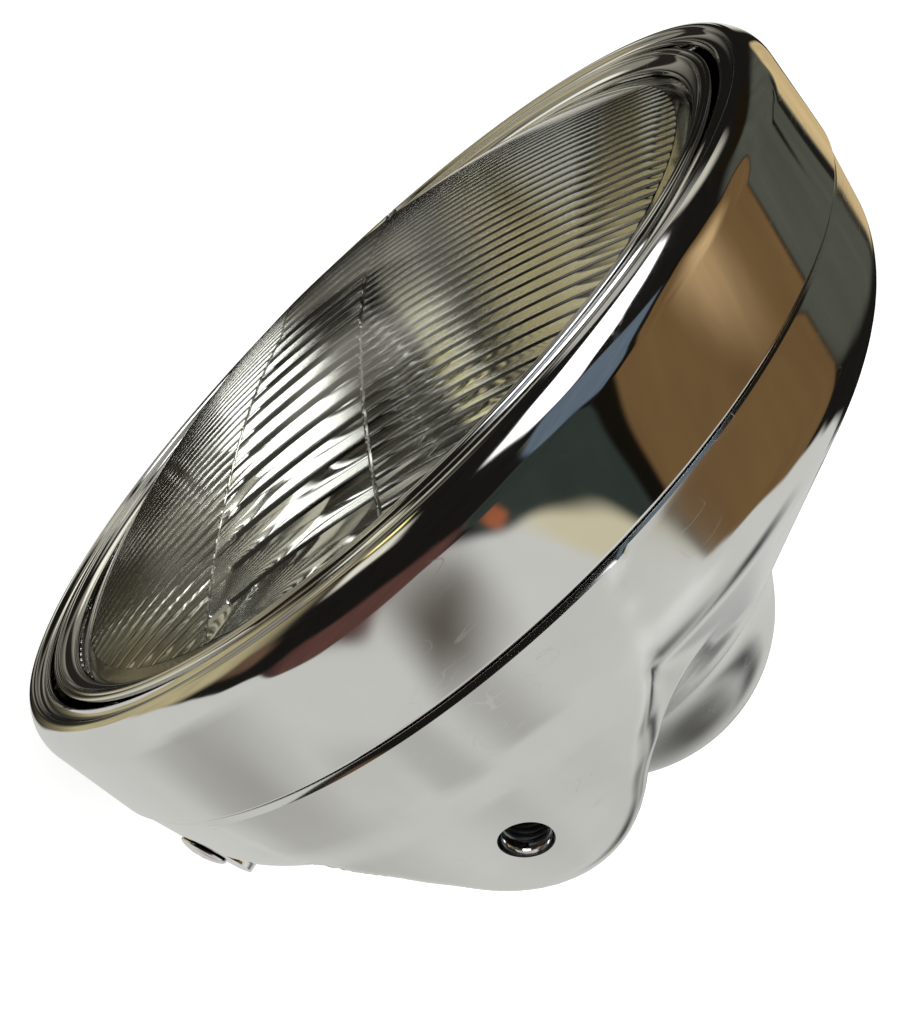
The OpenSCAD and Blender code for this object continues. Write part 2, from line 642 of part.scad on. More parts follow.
module lens_gasket() color("black")
    hoop(lens_edge_r + 0.6, lens_flange_r, lens_flange_front, lens_flange_front + gasket_h);

module lens_seal() color("darkslategray")
    hoop(lens_bore_r + 0.7, lens_flange_r - 0.2, reflector_front, lens_flange_back);

// Paraboloid reflector with a flange for the glass and a neck for the bulb
function bowl(r) = vertex + r * r / 4 / focal;
function bowl_back(r) = bowl(r) - reflector_sheet * sqrt(1 + pow(r / 2 / focal, 2));
bowl_steps = 12;
module reflector() color("gainsboro") turned(concat(
    [for (i = [0:bowl_steps]) let (r = neck_r + (mouth_r - neck_r) * i / bowl_steps) [r, bowl(r)]],
    [[lens_flange_r, reflector_front], [lens_flange_r, reflector_front - reflector_sheet],
     [mouth_r + 0.8, reflector_front - reflector_sheet]],
    [for (i = [bowl_steps - 1:-1:0])
        let (r = neck_r + reflector_sheet + (mouth_r - neck_r) * i / bowl_steps) [r, bowl_back(r)]],
    [[neck_r + reflector_sheet, neck_back], [neck_r, neck_back]]));

// Clips that hold the reflector's flange against the glass, screwed to the skirt
clip_turns = [-45, -135, 125, 55];
clip_front = reflector_front - reflector_sheet;
clip_ahead = clip_front - 3.4;
clip_sheet = 1.2;
clip_screw_r = 1.5;
module at_clip_screws() for (turn = clip_turns) rotate([0, turn, 0]) translate([0, -clip_ahead, 0])
    children();
module unit_clips() color("gray") difference() {
    for (turn = clip_turns) {
        intersection() {
            rotate([0, turn, 0]) block(lens_bore_r + 1.5, rim_r, 12, clip_front - clip_sheet, clip_front);
            bar(skirt_r, clip_ahead - 3, clip_ahead + 6);
        }
        intersection() {
            rotate([0, turn, 0]) block(lens_edge_r, rim_r, 12, clip_ahead - 2.6, clip_front);
            hoop(skirt_r - clip_sheet, skirt_r, clip_ahead - 2.6, clip_front);
        }
    }
    at_clip_screws() peg(clip_screw_r, lens_edge_r, rim_r);
}

module clip_screws() color("lightgray") at_clip_screws() difference() {
    union() {
        peg(clip_screw_r - fit_gap, skirt_r - 3, ring_r + 0.2);
        peg(2.8, ring_r + fit_gap, ring_r + 1.6);
    }
    translate([ring_r + 0.8, -2, -0.3]) cube([2, 4, 0.6]);
}

// Collar on the reflector's neck that the bulb's flange seats on, with a catch below
// and a staple above for the sprung wire
module bulb_collar() color("darkgray") union() {
    turned([
        [neck_r + reflector_sheet, neck_back], [neck_r + reflector_sheet, collar_front],
        [collar_r - 1, collar_front], [collar_r, collar_front - 1], [collar_r, bulb_plane],
        [seat_r, bulb_plane], [seat_r, neck_back]]);
    top_and_bottom() {
        translate([0, 0, staple_up]) block(-3, 3, 1.4, staple_back, bulb_plane + 0.5);
        translate([0, 0, staple_up - staple_in]) block(-3, 3, 3.8, staple_back, staple_back + 1.1);
    }
}

module bulb_flange() color("silver") union() {
    turned([[sleeve_r, bulb_plane], [sleeve_r, bulb_plane + sleeve_h],
            [sleeve_r - 0.8, bulb_plane + sleeve_h], [sleeve_r - 0.8, flange_back],
            [flange_r, flange_back], [flange_r, bulb_plane]]);
    for (turn = [90, 210, 330]) rotate([0, turn, 0])
        block(flange_r - 1, flange_r + 3, turn == 90 ? 8 : 6, flange_back, bulb_plane);
}

module bulb_glass() color("lightcyan", 0.5) turned(concat(
    [[glass_r, bulb_plane + 3], [glass_r, bulb_plane + envelope_len - 9]],
    [for (i = [1:8]) [glass_r * cos(i * 90 / 8), bulb_plane + envelope_len - 9 + 9 * sin(i * 90 / 8)]],
    [for (i = [8:-1:0]) [(glass_r - 0.8) * cos(i * 90 / 8),
                         bulb_plane + envelope_len - 9 + 8.2 * sin(i * 90 / 8)]],
    [[glass_r - 0.8, bulb_plane + 3]]));

// Half cup below the dipped filament
module bulb_shield() color("gray") difference() {
    bar(4.6, bulb_plane + filament_ahead - 4, bulb_plane + filament_ahead + 5);
    bar(4.1, bulb_plane + filament_ahead - 3.5, bulb_plane + filament_ahead + 6);
    translate([-6, -bulb_plane - filament_ahead - 8, 1]) cube([12, 16, 6]);
}

// A coiled filament along the axis, held at both ends by flat posts from the base
module filament(middle, half, post, height) {
    translate([0, 0, height]) bar(filament_r, middle - half, middle + half);
    for (q = [-1, 1]) {
        tip = middle + q * (half - 0.5);
        translate([0, 0, height]) block(q * post - 0.3, q * post + 0.3, 0.8, flange_back, tip + 0.3);
        translate([0, 0, height]) block(min(0, q * post), max(0, q * post), 0.5, tip - 0.3, tip + 0.2);
    }
}
module bulb_filaments() color("lightgray") union() {
    filament(bulb_plane + filament_ahead, 2.7, 3.4, 1.8);
    filament(bulb_plane + filament_ahead - 6.6, 2.4, 3.4, -1.2);
}

base_back = flange_back - base_len;
module bulb_base() color("black") turned([
    [0, flange_back], [base_r, flange_back], [base_r, base_back + 1], [base_r - 1, base_back],
    [0, base_back]]);

module bulb_terminals() color("goldenrod") {
    for (q = [-1, 1]) translate([q * 5 - 0.4, -base_back, -5.5]) cube([0.8, blade_len, 8]);
    translate([-4, -base_back, 5.2]) cube([8, blade_len, 0.8]);
}

// Sprung wire that presses the bulb's flange on its collar: one bent wire, lying flat, with
// its closed end under the catch and its two feet in the staple
wire_r = 0.7;
wire_back = flange_back - wire_r - 0.02;
staple_back = wire_back - wire_r - 1.2;
wire_sides = 8;
wire_foot = flange_r + 1.9;
wire_catch = 0.1 - flange_r;
wire_heel = wire_catch + 2.8;
wire_path = concat(
    [[4, wire_foot], [9, wire_foot]],
    arc([9, wire_foot - 4], 4, 80, 10, 5), arc([9, wire_heel], 4, -5, -50, 4),
    arc([6, wire_catch], 2.4, -60, -90, 2), arc([-6, wire_catch], 2.4, -90, -120, 2),
    arc([-9, wire_heel], 4, -130, -175, 4), arc([-9, wire_foot - 4], 4, 170, 100, 5),
    [[-9, wire_foot], [-4, wire_foot]]);
wire_last = len(wire_path) - 1;
function wire_side(i) =
    let (d = unit(wire_path[min(i + 1, wire_last)] - wire_path[max(i - 1, 0)])) [d[1], -d[0]];
function wire_point(i, k) =
    let (t = 360 * (k + 0.5) / wire_sides, p = wire_path[i] + wire_r * cos(t) * wire_side(i))
    [p[0], -wire_back + wire_r * sin(t), p[1]];
function wire_index(i, k) = i * wire_sides + k % wire_sides;
module bulb_spring() {
    along = [0:wire_last - 1];
    around = [0:wire_sides - 1];
    points = [for (i = [0:wire_last], k = around) wire_point(i, k)];
    color("lightgray") polyhedron(points, concat(
        [[for (k = around) k]],
        [[for (k = [wire_sides - 1:-1:0]) wire_index(wire_last, k)]],
        [for (i = along, k = around) [wire_index(i, k), wire_index(i + 1, k + 1), wire_index(i, k + 1)]],
        [for (i = along, k = around) [wire_index(i, k), wire_index(i + 1, k), wire_index(i + 1, k + 1)]]));
}

// Rubber boot over the back of the bulb
module bulb_boot() color("dimgray") turned([
    [collar_r, collar_front - 1.2], [collar_r, bulb_plane - 0.2], [collar_r + 0.4, bulb_plane - 1],
    [collar_r - 1, bulb_plane - 4], [base_r + 1.4, bulb_plane - 9.6], [base_r, bulb_plane - 10.4],
    [base_r, base_back + 0.8], [base_r + 2.2, base_back + 0.8], [base_r + 2.4, base_back + 2.4],
    [base_r + 3.2, bulb_plane - 11.6], [collar_r + 0.8, bulb_plane - 6],
    [collar_r + 2.4, bulb_plane - 2], [collar_r + 2.2, collar_front - 1.2]]);

bucket();
wire_grommet();
outer_rim();
rim_tab_left();
rim_tab_right();
rim_tab_nuts();
rim_screws();
pivot_bracket_top();
pivot_bracket_bottom();
pivot_studs();
adjuster_bracket();
adjuster_screw();
adjuster_clip();
adjuster_spring();
adjuster_nut();
unit_ring();
pivot_bushes();
lens();
lens_gasket();
lens_seal();
reflector();
unit_clips();
clip_screws();
bulb_collar();
bulb_flange();
bulb_glass();
bulb_shield();
bulb_filaments();
bulb_base();
bulb_terminals();
bulb_spring();
bulb_boot();
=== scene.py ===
import math
import bmesh
import bpy
import numpy as np
from mathutils import Matrix, Vector


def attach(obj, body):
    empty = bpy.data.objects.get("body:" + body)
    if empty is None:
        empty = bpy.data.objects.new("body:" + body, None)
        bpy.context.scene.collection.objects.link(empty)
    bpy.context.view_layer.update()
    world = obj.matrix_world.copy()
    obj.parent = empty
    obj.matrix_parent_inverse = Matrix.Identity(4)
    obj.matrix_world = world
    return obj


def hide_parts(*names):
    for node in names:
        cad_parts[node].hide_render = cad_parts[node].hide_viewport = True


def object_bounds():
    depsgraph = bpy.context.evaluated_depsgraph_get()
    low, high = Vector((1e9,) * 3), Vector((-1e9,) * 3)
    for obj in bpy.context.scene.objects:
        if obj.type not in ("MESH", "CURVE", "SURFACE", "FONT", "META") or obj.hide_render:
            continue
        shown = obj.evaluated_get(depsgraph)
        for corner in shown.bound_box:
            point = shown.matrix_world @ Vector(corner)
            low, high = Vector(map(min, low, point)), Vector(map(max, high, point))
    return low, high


# Motorcycle headlight, seven-inch class. The lamp looks along -Y and +Z is up.
# Outlines are lists of (radius, ahead) in millimetres, and ahead is the distance forward of the side threads.
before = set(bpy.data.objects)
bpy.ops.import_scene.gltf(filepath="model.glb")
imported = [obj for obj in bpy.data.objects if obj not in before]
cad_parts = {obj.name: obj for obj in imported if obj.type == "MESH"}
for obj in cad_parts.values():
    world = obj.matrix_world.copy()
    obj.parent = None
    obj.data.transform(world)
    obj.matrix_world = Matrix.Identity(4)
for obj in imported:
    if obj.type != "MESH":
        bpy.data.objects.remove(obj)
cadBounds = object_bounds()
mm = 0.001
weld = 1e-7  # metres within which points are merged
softCrease = 30.0  # degrees below which an edge is shaded smooth
sharpCrease = 20.0

# What several pieces share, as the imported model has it
lamp = {
    "rimRadius": 95.0,
    "seamAhead": 32.0,
    "rimDepth": 23.2,
    "rimFace": 7.7,
    "rimRound": 7.5,
    "rimRoll": 0.7,
    "barrelBehind": 6.2,
    "sheet": 1.2,
    "ringGap": 1.3,
    "ringBehind": 0.5,
    "ringFace": 5.2,
    "skirtLength": 16.7,
    "glassBall": 225.0,
    "glassProud": 12.3,
    "glassWall": 4.0,
    "flangeBehind": 1.2,
    "flangePlay": 0.6,
    "glassMargin": 2.0,
    "sealThick": 0.6,
    "mirrorInside": 0.3,
    "focal": 26.0,
}
rimFront = lamp["seamAhead"] + lamp["rimDepth"]
lipRadius = lamp["rimRadius"] - lamp["rimFace"]
barrelEnd = rimFront - lamp["barrelBehind"]
ringRadius = lipRadius - lamp["ringGap"]
ringFront = rimFront - lamp["ringBehind"]
skirtRadius = ringRadius - lamp["sheet"]
skirtBack = ringFront - lamp["skirtLength"]
glassEdge = ringRadius - lamp["ringFace"]
glassApex = ringFront + lamp["glassProud"]


def domeAhead(radius, ball=lamp["glassBall"], apex=glassApex):
    return apex - ball + math.sqrt(ball * ball - radius * radius)


glassFlangeFront = domeAhead(glassEdge) - lamp["flangeBehind"]
glassFlangeBack = glassFlangeFront - lamp["glassWall"]
glassFlangeRadius = skirtRadius - lamp["flangePlay"]
glassBore = glassEdge - lamp["glassMargin"]
mirrorFront = glassFlangeBack - lamp["sealThick"]
mirrorMouth = glassBore - lamp["mirrorInside"]
mirrorVertex = mirrorFront - mirrorMouth ** 2 / 4 / lamp["focal"]


# Nodes

def feed(value, socket):
    # An output is linked to the socket, and anything else becomes its fixed value
    if isinstance(value, bpy.types.NodeSocket):
        socket.id_data.links.new(value, socket)
    elif value is not None:
        socket.default_value = value


def treeOf(*values):
    # The tree that the first output among the values is in
    return next(value.id_data for value in values if isinstance(value, bpy.types.NodeSocket))


def addNode(tree, kind, sockets=(), **settings):
    # Sockets are a dictionary of what goes into each input, by its name or number
    node = tree.nodes.new(kind)
    for name, value in settings.items():
        setattr(node, name, value)
    for socket, value in dict(sockets).items():
        feed(value, node.inputs[socket])
    return node


def newTree(name, kind, inputs, outputs):
    # An input is given as its number, its vector or the word for another kind of socket
    tree = bpy.data.node_groups.new(name, kind)
    for socket, value in inputs.items():
        word = value if isinstance(value, str) else "Vector" if isinstance(value, tuple) else "Float"
        made = tree.interface.new_socket(socket, in_out="INPUT", socket_type="NodeSocket" + word)
        if word is not value:
            made.default_value = value
    for socket, word in outputs.items():
        tree.interface.new_socket(socket, in_out="OUTPUT", socket_type="NodeSocket" + word)
    return tree, addNode(tree, "NodeGroupInput").outputs, addNode(tree, "NodeGroupOutput").inputs


def mathNode(operation, *values):
    return addNode(treeOf(*values), "ShaderNodeMath", enumerate(values), operation=operation).outputs[0]


def vectorNode(operation, *values):
    node = addNode(treeOf(*values), "ShaderNodeVectorMath", enumerate(values), operation=operation)
    return node.outputs["Value" if operation in ("DOT_PRODUCT", "DISTANCE") else "Vector"]


def splitNode(vector):
    return addNode(vector.id_data, "ShaderNodeSeparateXYZ", {0: vector}).outputs


def joinNode(*values):
    return addNode(treeOf(*values), "ShaderNodeCombineXYZ", enumerate(values)).outputs[0]


def mixColours(mask, low, high):
    return addNode(mask.id_data, "ShaderNodeMix", {0: mask, 6: low, 7: high}, data_type="RGBA").outputs[2]


def smoothRange(value, low, high):
    edges = {0: value, 1: low, 2: high}
    return addNode(value.id_data, "ShaderNodeMapRange", edges, interpolation_type="SMOOTHSTEP").outputs[0]


def noiseNode(place, scale, detail=2.0, rough=0.5, output=0):
    sockets = {"Vector": place, "Scale": scale, "Detail": detail, "Roughness": rough}
    return addNode(place.id_data, "ShaderNodeTexNoise", sockets).outputs[output]


def newMaterial(name, values):
    # Returns the material with its tree and its shader's inputs
    material = bpy.data.materials.new(name)
    material.use_nodes = True
    shader = material.node_tree.nodes["Principled BSDF"].inputs
    for socket, value in values.items():
        shader[socket].default_value = value
    return material, material.node_tree, shader


def newObject(name, data):
    made = bpy.data.objects.new(name, data)
    bpy.context.scene.collection.objects.link(made)
    return made


# Camera and stage

view = {
    "place": (0.2108, -0.1058, 0.0850),
    "right": (-0.04630907, 0.66056368, 0.74934044),
    "up": (-0.53088205, -0.65171386, 0.54169484),
    "lens": 39.75,
    "sensor": 36,
    "nearest": 0.01,
}
stage = {
    "half": 60.0,
    "grey": 0.62,
    "glow": 0.68,
}


def addCamera():
    data = bpy.data.cameras.new("camera")
    data.lens = view["lens"]
    data.sensor_width = view["sensor"]
    data.clip_start = view["nearest"]
    camera = newObject("camera", data)
    right, up = Vector(view["right"]), Vector(view["up"])
    axes = Matrix((right, up, right.cross(up))).transposed()
    camera.matrix_world = Matrix.Translation(view["place"]) @ axes.to_4x4()
    bpy.context.scene.camera = camera


def addStage():
    mesh = bpy.data.meshes.new("floor")
    half, grey, low = stage["half"], stage["grey"], cadBounds[0][2]
    corners = [(-half, -half, low), (half, -half, low), (half, half, low), (-half, half, low)]
    mesh.from_pydata(corners, [], [(0, 1, 2, 3)])
    mesh.materials.append(newMaterial("paleFloor", {
        "Base Color": (grey, grey, grey, 1), "Roughness": 1.0, "Specular IOR Level": 0.0,
        "Emission Color": (1, 1, 1, 1), "Emission Strength": stage["glow"]})[0])
    floor = newObject("floor", mesh)
    floor.visible_glossy = False  # polished metal and glass show the studio's panels instead
    floor.visible_transmission = False
    bpy.context.scene.view_settings.view_transform = "Standard"


# Soft studio surroundings. Angles are in degrees as the camera sees them: along 0 is towards the camera
# and 90 to its right, up is the photograph's up, and a panel's turn is round its own middle.
studio = {
    "horizon": [(-180, 2), (-150, -7), (-100, -9), (-76, -24), (-58, -38), (-36, -60), (-8, -62), (14, -48),
                (32, -36), (45, -26), (56, -23), (64, -24), (71, -19), (83, -13), (104, -7), (115, -2),
                (134, -2), (157, -1), (180, 2)],
    "horizonSoft": 1.4,
    "sheetLight": (196, 196, 192),
    "roomDark": (30, 29, 27),
    "strength": 1.08,
    "warp": 13.0,
    "warpScale": 2.6,
    "streaks": 0.34,
    "streakScale": (0.14, 0.045, 1.0),
}
panels = [
    # along, up, half width, half height, turn, softness, colour, and brightness where it isn't 1
    ("ceilingLeft", -95, 68, 62, 12, 0, 0.5, (170, 168, 162)),
    ("leftWall", -126, 30, 46, 22, 0, 0.4, (134, 131, 120)),
    ("oliveWall", -101, 0, 44, 17, -4, 0.5, (172, 161, 126)),
    ("leftPost", -150, 20, 7, 26, 8, 0.4, (40, 38, 36)),
    ("leftShade", -118, 42, 5, 20, -30, 0.5, (70, 66, 60)),
    ("leftLamp", -134, 38, 7, 10, 20, 0.4, (240, 236, 220)),
    ("creamBar", -80, 27, 12, 4, -18, 0.4, (206, 190, 148)),
    ("ceilingCap", 0, 90, 180, 13, 0, 0.4, (196, 192, 178)),
    ("ceilingLamp", -3, 46, 19, 30, 8, 0.25, (255, 255, 255), 2.8),
    ("leftGlow", -50, 13, 12, 8, -24, 0.6, (226, 222, 206)),
    ("yellowLamp", -57, 23, 7, 3.4, -20, 0.5, (255, 240, 160), 1.3),
    ("greyWall", 112, 38, 46, 28, 0, 0.25, (78, 80, 72)),
    ("ceilingEdge", 105, 68, 54, 7, 0, 0.5, (33, 28, 20)),
    ("dashUpper", 131, 34, 1.5, 4, 38, 0.5, (18, 18, 18)),
    ("dashLower", 125, 31, 1.5, 6, 38, 0.5, (18, 18, 18)),
    ("jamb", 137, 27, 2.4, 18, -4, 0.5, (34, 33, 31)),
    ("creamCard", 149, 30, 10, 17, 0, 0.2, (196, 172, 128)),
    ("window", 173, 18, 12, 22, 0, 0.3, (216, 212, 200)),
    ("greyCard", 22, 8, 17, 10, -34, 0.25, (78, 80, 77)),
    ("darkFoot", 38, -22, 22, 16, 10, 0.1, (50, 56, 52)),
    ("blueCard", 33, 10, 25, 19, -14, 0.14, (92, 104, 116)),
    ("boardEdge", 74, 12, 28.5, 36, -9, 0.05, (26, 24, 20)),
    ("warmBoard", 76, 12, 26, 35, -9, 0.06, (106, 83, 56)),
    ("boardSheen", 70, 25, 15, 21, -30, 0.9, (190, 160, 118)),
    ("warmFloor", -14, -46, 42, 20, -6, 0.35, (88, 62, 57)),
    ("warmSpot", 32, -33, 2.2, 3.0, 20, 0.7, (150, 88, 60)),
    ("warmLeft", -66, -12, 11, 8, 30, 0.7, (96, 76, 62)),
]
# Soft shades on the pale sheet below the horizon
sheetShades = [
    ("creamFringe", 52, -24, 24, 6, -22, 0.5, (196, 188, 160)),
    ("ownShade", 21, -53, 19, 13, -24, 1.0, (92, 86, 80)),
    ("faintShade", 48, -66, 24, 12, 0, 1.0, (166, 165, 161)),
    ("deepShade", -120, -62, 70, 20, 0, 1.0, (158, 157, 153)),
    ("brightRight", 80, -38, 26, 14, 10, 0.9, (216, 216, 213)),
    ("underShade", 0, -84, 180, 8, 0, 0.8, (174, 174, 170)),
    ("noseShade", 127, -46, 25, 23, 0, 1.0, (62, 60, 58)),
    ("valleyShade", 130, -21, 17, 11, 0, 1.0, (70, 70, 71)),
    ("edgeShade", 163, -15, 15, 8, 0, 0.9, (132, 133, 133)),
]


def fromDisplay(colour, brightness=1.0):
    return tuple(brightness * (c / 255) ** 2.2 for c in colour) + (1.0,)


def softPanelGroup():
    tree, given, result = newTree("softPanel", "ShaderNodeTree", {
        "Angles": (0, 0, 0), "Place": (0, 0, 0), "Half Size": (10, 10, 1), "Turn": 0.0, "Softness": 0.3},
        {"Mask": "Float"})
    away = splitNode(vectorNode("SUBTRACT", given["Angles"], given["Place"]))
    flat = joinNode(mathNode("WRAP", away[0], 180.0, -180.0), away[1])
    turn = {"Vector": flat, "Angle": given["Turn"]}
    turned = addNode(tree, "ShaderNodeVectorRotate", turn, rotation_type="Z_AXIS").outputs[0]
    unit = vectorNode("DIVIDE", turned, given["Half Size"])
    # The fourth powers give the panel round corners
    square = vectorNode("MULTIPLY", unit, unit)
    share = mathNode("POWER", vectorNode("DOT_PRODUCT", square, square), 0.25)
    past = smoothRange(share, mathNode("SUBTRACT", 1.0, given["Softness"]), 1.0)
    feed(mathNode("SUBTRACT", 1.0, past), result["Mask"])
    return tree


def layPanels(group, angles, colour, rows):
    # Lays each row's panel over the colour below it
    for name, along, up, halfWide, halfHigh, turn, soft, *shade in rows:
        panel = addNode(angles.id_data, "ShaderNodeGroup", {
            "Angles": angles, "Place": (along, up, 0), "Half Size": (halfWide, halfHigh, 1),
            "Turn": math.radians(turn), "Softness": soft}, node_tree=group, name=name)
        colour = mixColours(panel.outputs["Mask"], colour, fromDisplay(*shade))
    return colour


def horizonCurve(along):
    # The edge of the pale sheet that the lamp lies on, in degrees up
    curve = addNode(along.id_data, "ShaderNodeFloatCurve")
    line = curve.mapping.curves[0]
    spots = [((a + 180) / 360, (b + 90) / 180) for a, b in studio["horizon"]]
    line.points[0].location = spots[0]
    for spot in spots[1:-1]:
        line.points.new(*spot)
    line.points[len(line.points) - 1].location = spots[-1]
    curve.mapping.update()
    feed(mathNode("MULTIPLY_ADD", along, 1 / 360, 0.5), curve.inputs["Value"])
    return mathNode("MULTIPLY_ADD", curve.outputs[0], 180.0, -90.0)


def addWorld():
    world = bpy.data.worlds.new("studio")
    bpy.context.scene.world = world
    world.use_nodes = True
    tree = world.node_tree
    place = addNode(tree, "ShaderNodeTexCoord").outputs["Generated"]
    right, up = Vector(view["right"]), Vector(view["up"])
    across, rise, near = (vectorNode("DOT_PRODUCT", place, way) for way in (right, up, right.cross(up)))
    along = mathNode("DEGREES", mathNode("ARCTAN2", across, near))
    height = mathNode("DEGREES", mathNode("ARCSINE", rise))
    # A slow noise bends the panels' edges, and a stretched one streaks what stands in the room
    warp = studio["warp"]
    bent = vectorNode("SUBTRACT", noiseNode(place, studio["warpScale"], 1.0, output=1), (0.5, 0.5, 0.5))
    bent = vectorNode("MULTIPLY", bent, (warp, warp, 0.0))
    angles = vectorNode("ADD", joinNode(along, height), bent)
    along, height = splitNode(angles)[:2]
    group = softPanelGroup()
    room = layPanels(group, angles, fromDisplay(studio["roomDark"]), panels)
    streak = noiseNode(vectorNode("MULTIPLY", angles, studio["streakScale"]), 1.0, 3.0, 0.6)
    streak = mathNode("SUBTRACT", streak, 0.5)
    streak = mathNode("MULTIPLY_ADD", streak, 2 * studio["streaks"], 1.0)
    room = vectorNode("MULTIPLY", room, streak)
    sheet = layPanels(group, angles, fromDisplay(studio["sheetLight"]), sheetShades)
    above = mathNode("SUBTRACT", height, horizonCurve(along))
    soft = studio["horizonSoft"]
    colour = mixColours(smoothRange(above, -soft, soft), sheet, room)
    # The camera sees plain white, and dull surfaces are lit by plain white
    path = addNode(tree, "ShaderNodeLightPath").outputs
    plain = mathNode("MAXIMUM", path["Is Camera Ray"], path["Is Diffuse Ray"])
    background = tree.nodes["Background"]
    feed(colour, background.inputs["Color"])
    background.inputs["Strength"].default_value = studio["strength"]
    white = addNode(tree, "ShaderNodeBackground", {"Color": (1, 1, 1, 1), "Strength": studio["strength"]})
    either = addNode(tree, "ShaderNodeMixShader", {0: plain, 1: background.outputs[0], 2: white.outputs[0]})
    feed(either.outputs[0], tree.nodes["World Output"].inputs["Surface"])
    world.cycles.sampling_method = "NONE"  # surfaces find the panels by themselves, and it is much quicker


# Finishes. Each row has a colour, a second colour that mottles it, how metallic it is, and the wear
# in the order of wearColumns. Lengths are in metres.
wearColumns = ("Haze Low", "Haze High", "Haze Size", "Wave Size", "Wave Depth", "Pit Spacing", "Pit Radius",
               "Pit Share", "Pit Depth", "Hairlines")
finishes = {
    "chrome": ((0.90, 0.90, 0.89), (0.84, 0.84, 0.83), 1.0,
               0.025, 0.075, 0.035, 0.034, 0.00005, 0.010, 0.00035, 0.16, 0.00003, 0.10),
    "castChrome": ((0.89, 0.89, 0.88), (0.80, 0.80, 0.78), 1.0,
                   0.05, 0.16, 0.045, 0.026, 0.00010, 0.007, 0.00032, 0.22, 0.00003, 0.16),
    "silvering": ((0.90, 0.89, 0.85), (0.82, 0.81, 0.76), 1.0,
                  0.03, 0.09, 0.02, 0.016, 0.00001, 0.009, 0.0003, 0.06, 0.00001, 0.0),
    "zincPlate": ((0.62, 0.61, 0.56), (0.50, 0.50, 0.47), 1.0,
                  0.26, 0.44, 0.006, 0.004, 0.00001, 0.003, 0.0002, 0.3, 0.00002, 0.2),
    "springSteel": ((0.36, 0.37, 0.39), (0.27, 0.26, 0.26), 1.0,
                    0.25, 0.42, 0.005, 0.003, 0.000006, 0.003, 0.0002, 0.2, 0.00001, 0.3),
    "brassBlade": ((0.72, 0.54, 0.24), (0.58, 0.40, 0.17), 1.0,
                   0.2, 0.36, 0.005, 0.004, 0.000006, 0.003, 0.0002, 0.2, 0.00001, 0.3),
    "filamentWire": ((0.30, 0.30, 0.31), (0.22, 0.22, 0.23), 1.0,
                     0.35, 0.5, 0.002, 0.001, 0.000004, 0.002, 0.0001, 0.1, 0.000005, 0.0),
    "blackRubber": ((0.020, 0.020, 0.021), (0.045, 0.044, 0.042), 0.0,
                    0.55, 0.78, 0.008, 0.0016, 0.00003, 0.004, 0.0003, 0.2, 0.00004, 0.0),
    "naturalNylon": ((0.74, 0.71, 0.61), (0.66, 0.62, 0.51), 0.0,
                     0.35, 0.5, 0.006, 0.002, 0.00001, 0.004, 0.0002, 0.1, 0.00001, 0.1),
    "blackPlastic": ((0.030, 0.029, 0.028), (0.05, 0.047, 0.043), 0.0,
                     0.34, 0.5, 0.006, 0.0015, 0.00001, 0.004, 0.0002, 0.1, 0.00001, 0.1),
}
# Painted shade: the casting is darkened and dulled round the valley between each lug and the nose, where
# shade falls
paintedShade = {
    "finish": "castChrome",
    "sockets": {"Centre": (0.038, 0.043, 0.0), "Reach": 0.031, "Amount": 0.82},
    "roughness": 0.2,
}
glasses = {
    # colour and wave depth
    "clearGlass": ((0.97, 0.985, 0.97), 0.0),
    "bulbEnvelope": ((0.98, 0.99, 0.99), 0.000002),
}
glassWear = {
    "bend": 1.5,
    "waveSize": 0.02,
    "haziest": 0.02,
    "darker": 0.985,
}
wear = {
    "smallestPit": 0.35,
    "pitFloor": 0.35,
    "pitRoughness": 0.3,
    "hairStretch": (70.0, 420.0, 160.0),
    "hairEdges": (0.002, 0.012),
    "patchScale": 70.0,
    "patchEdges": (0.52, 0.66),
    "hazeEdges": (0.32, 0.7),
    "pitAndShadeShare": 0.25,
}


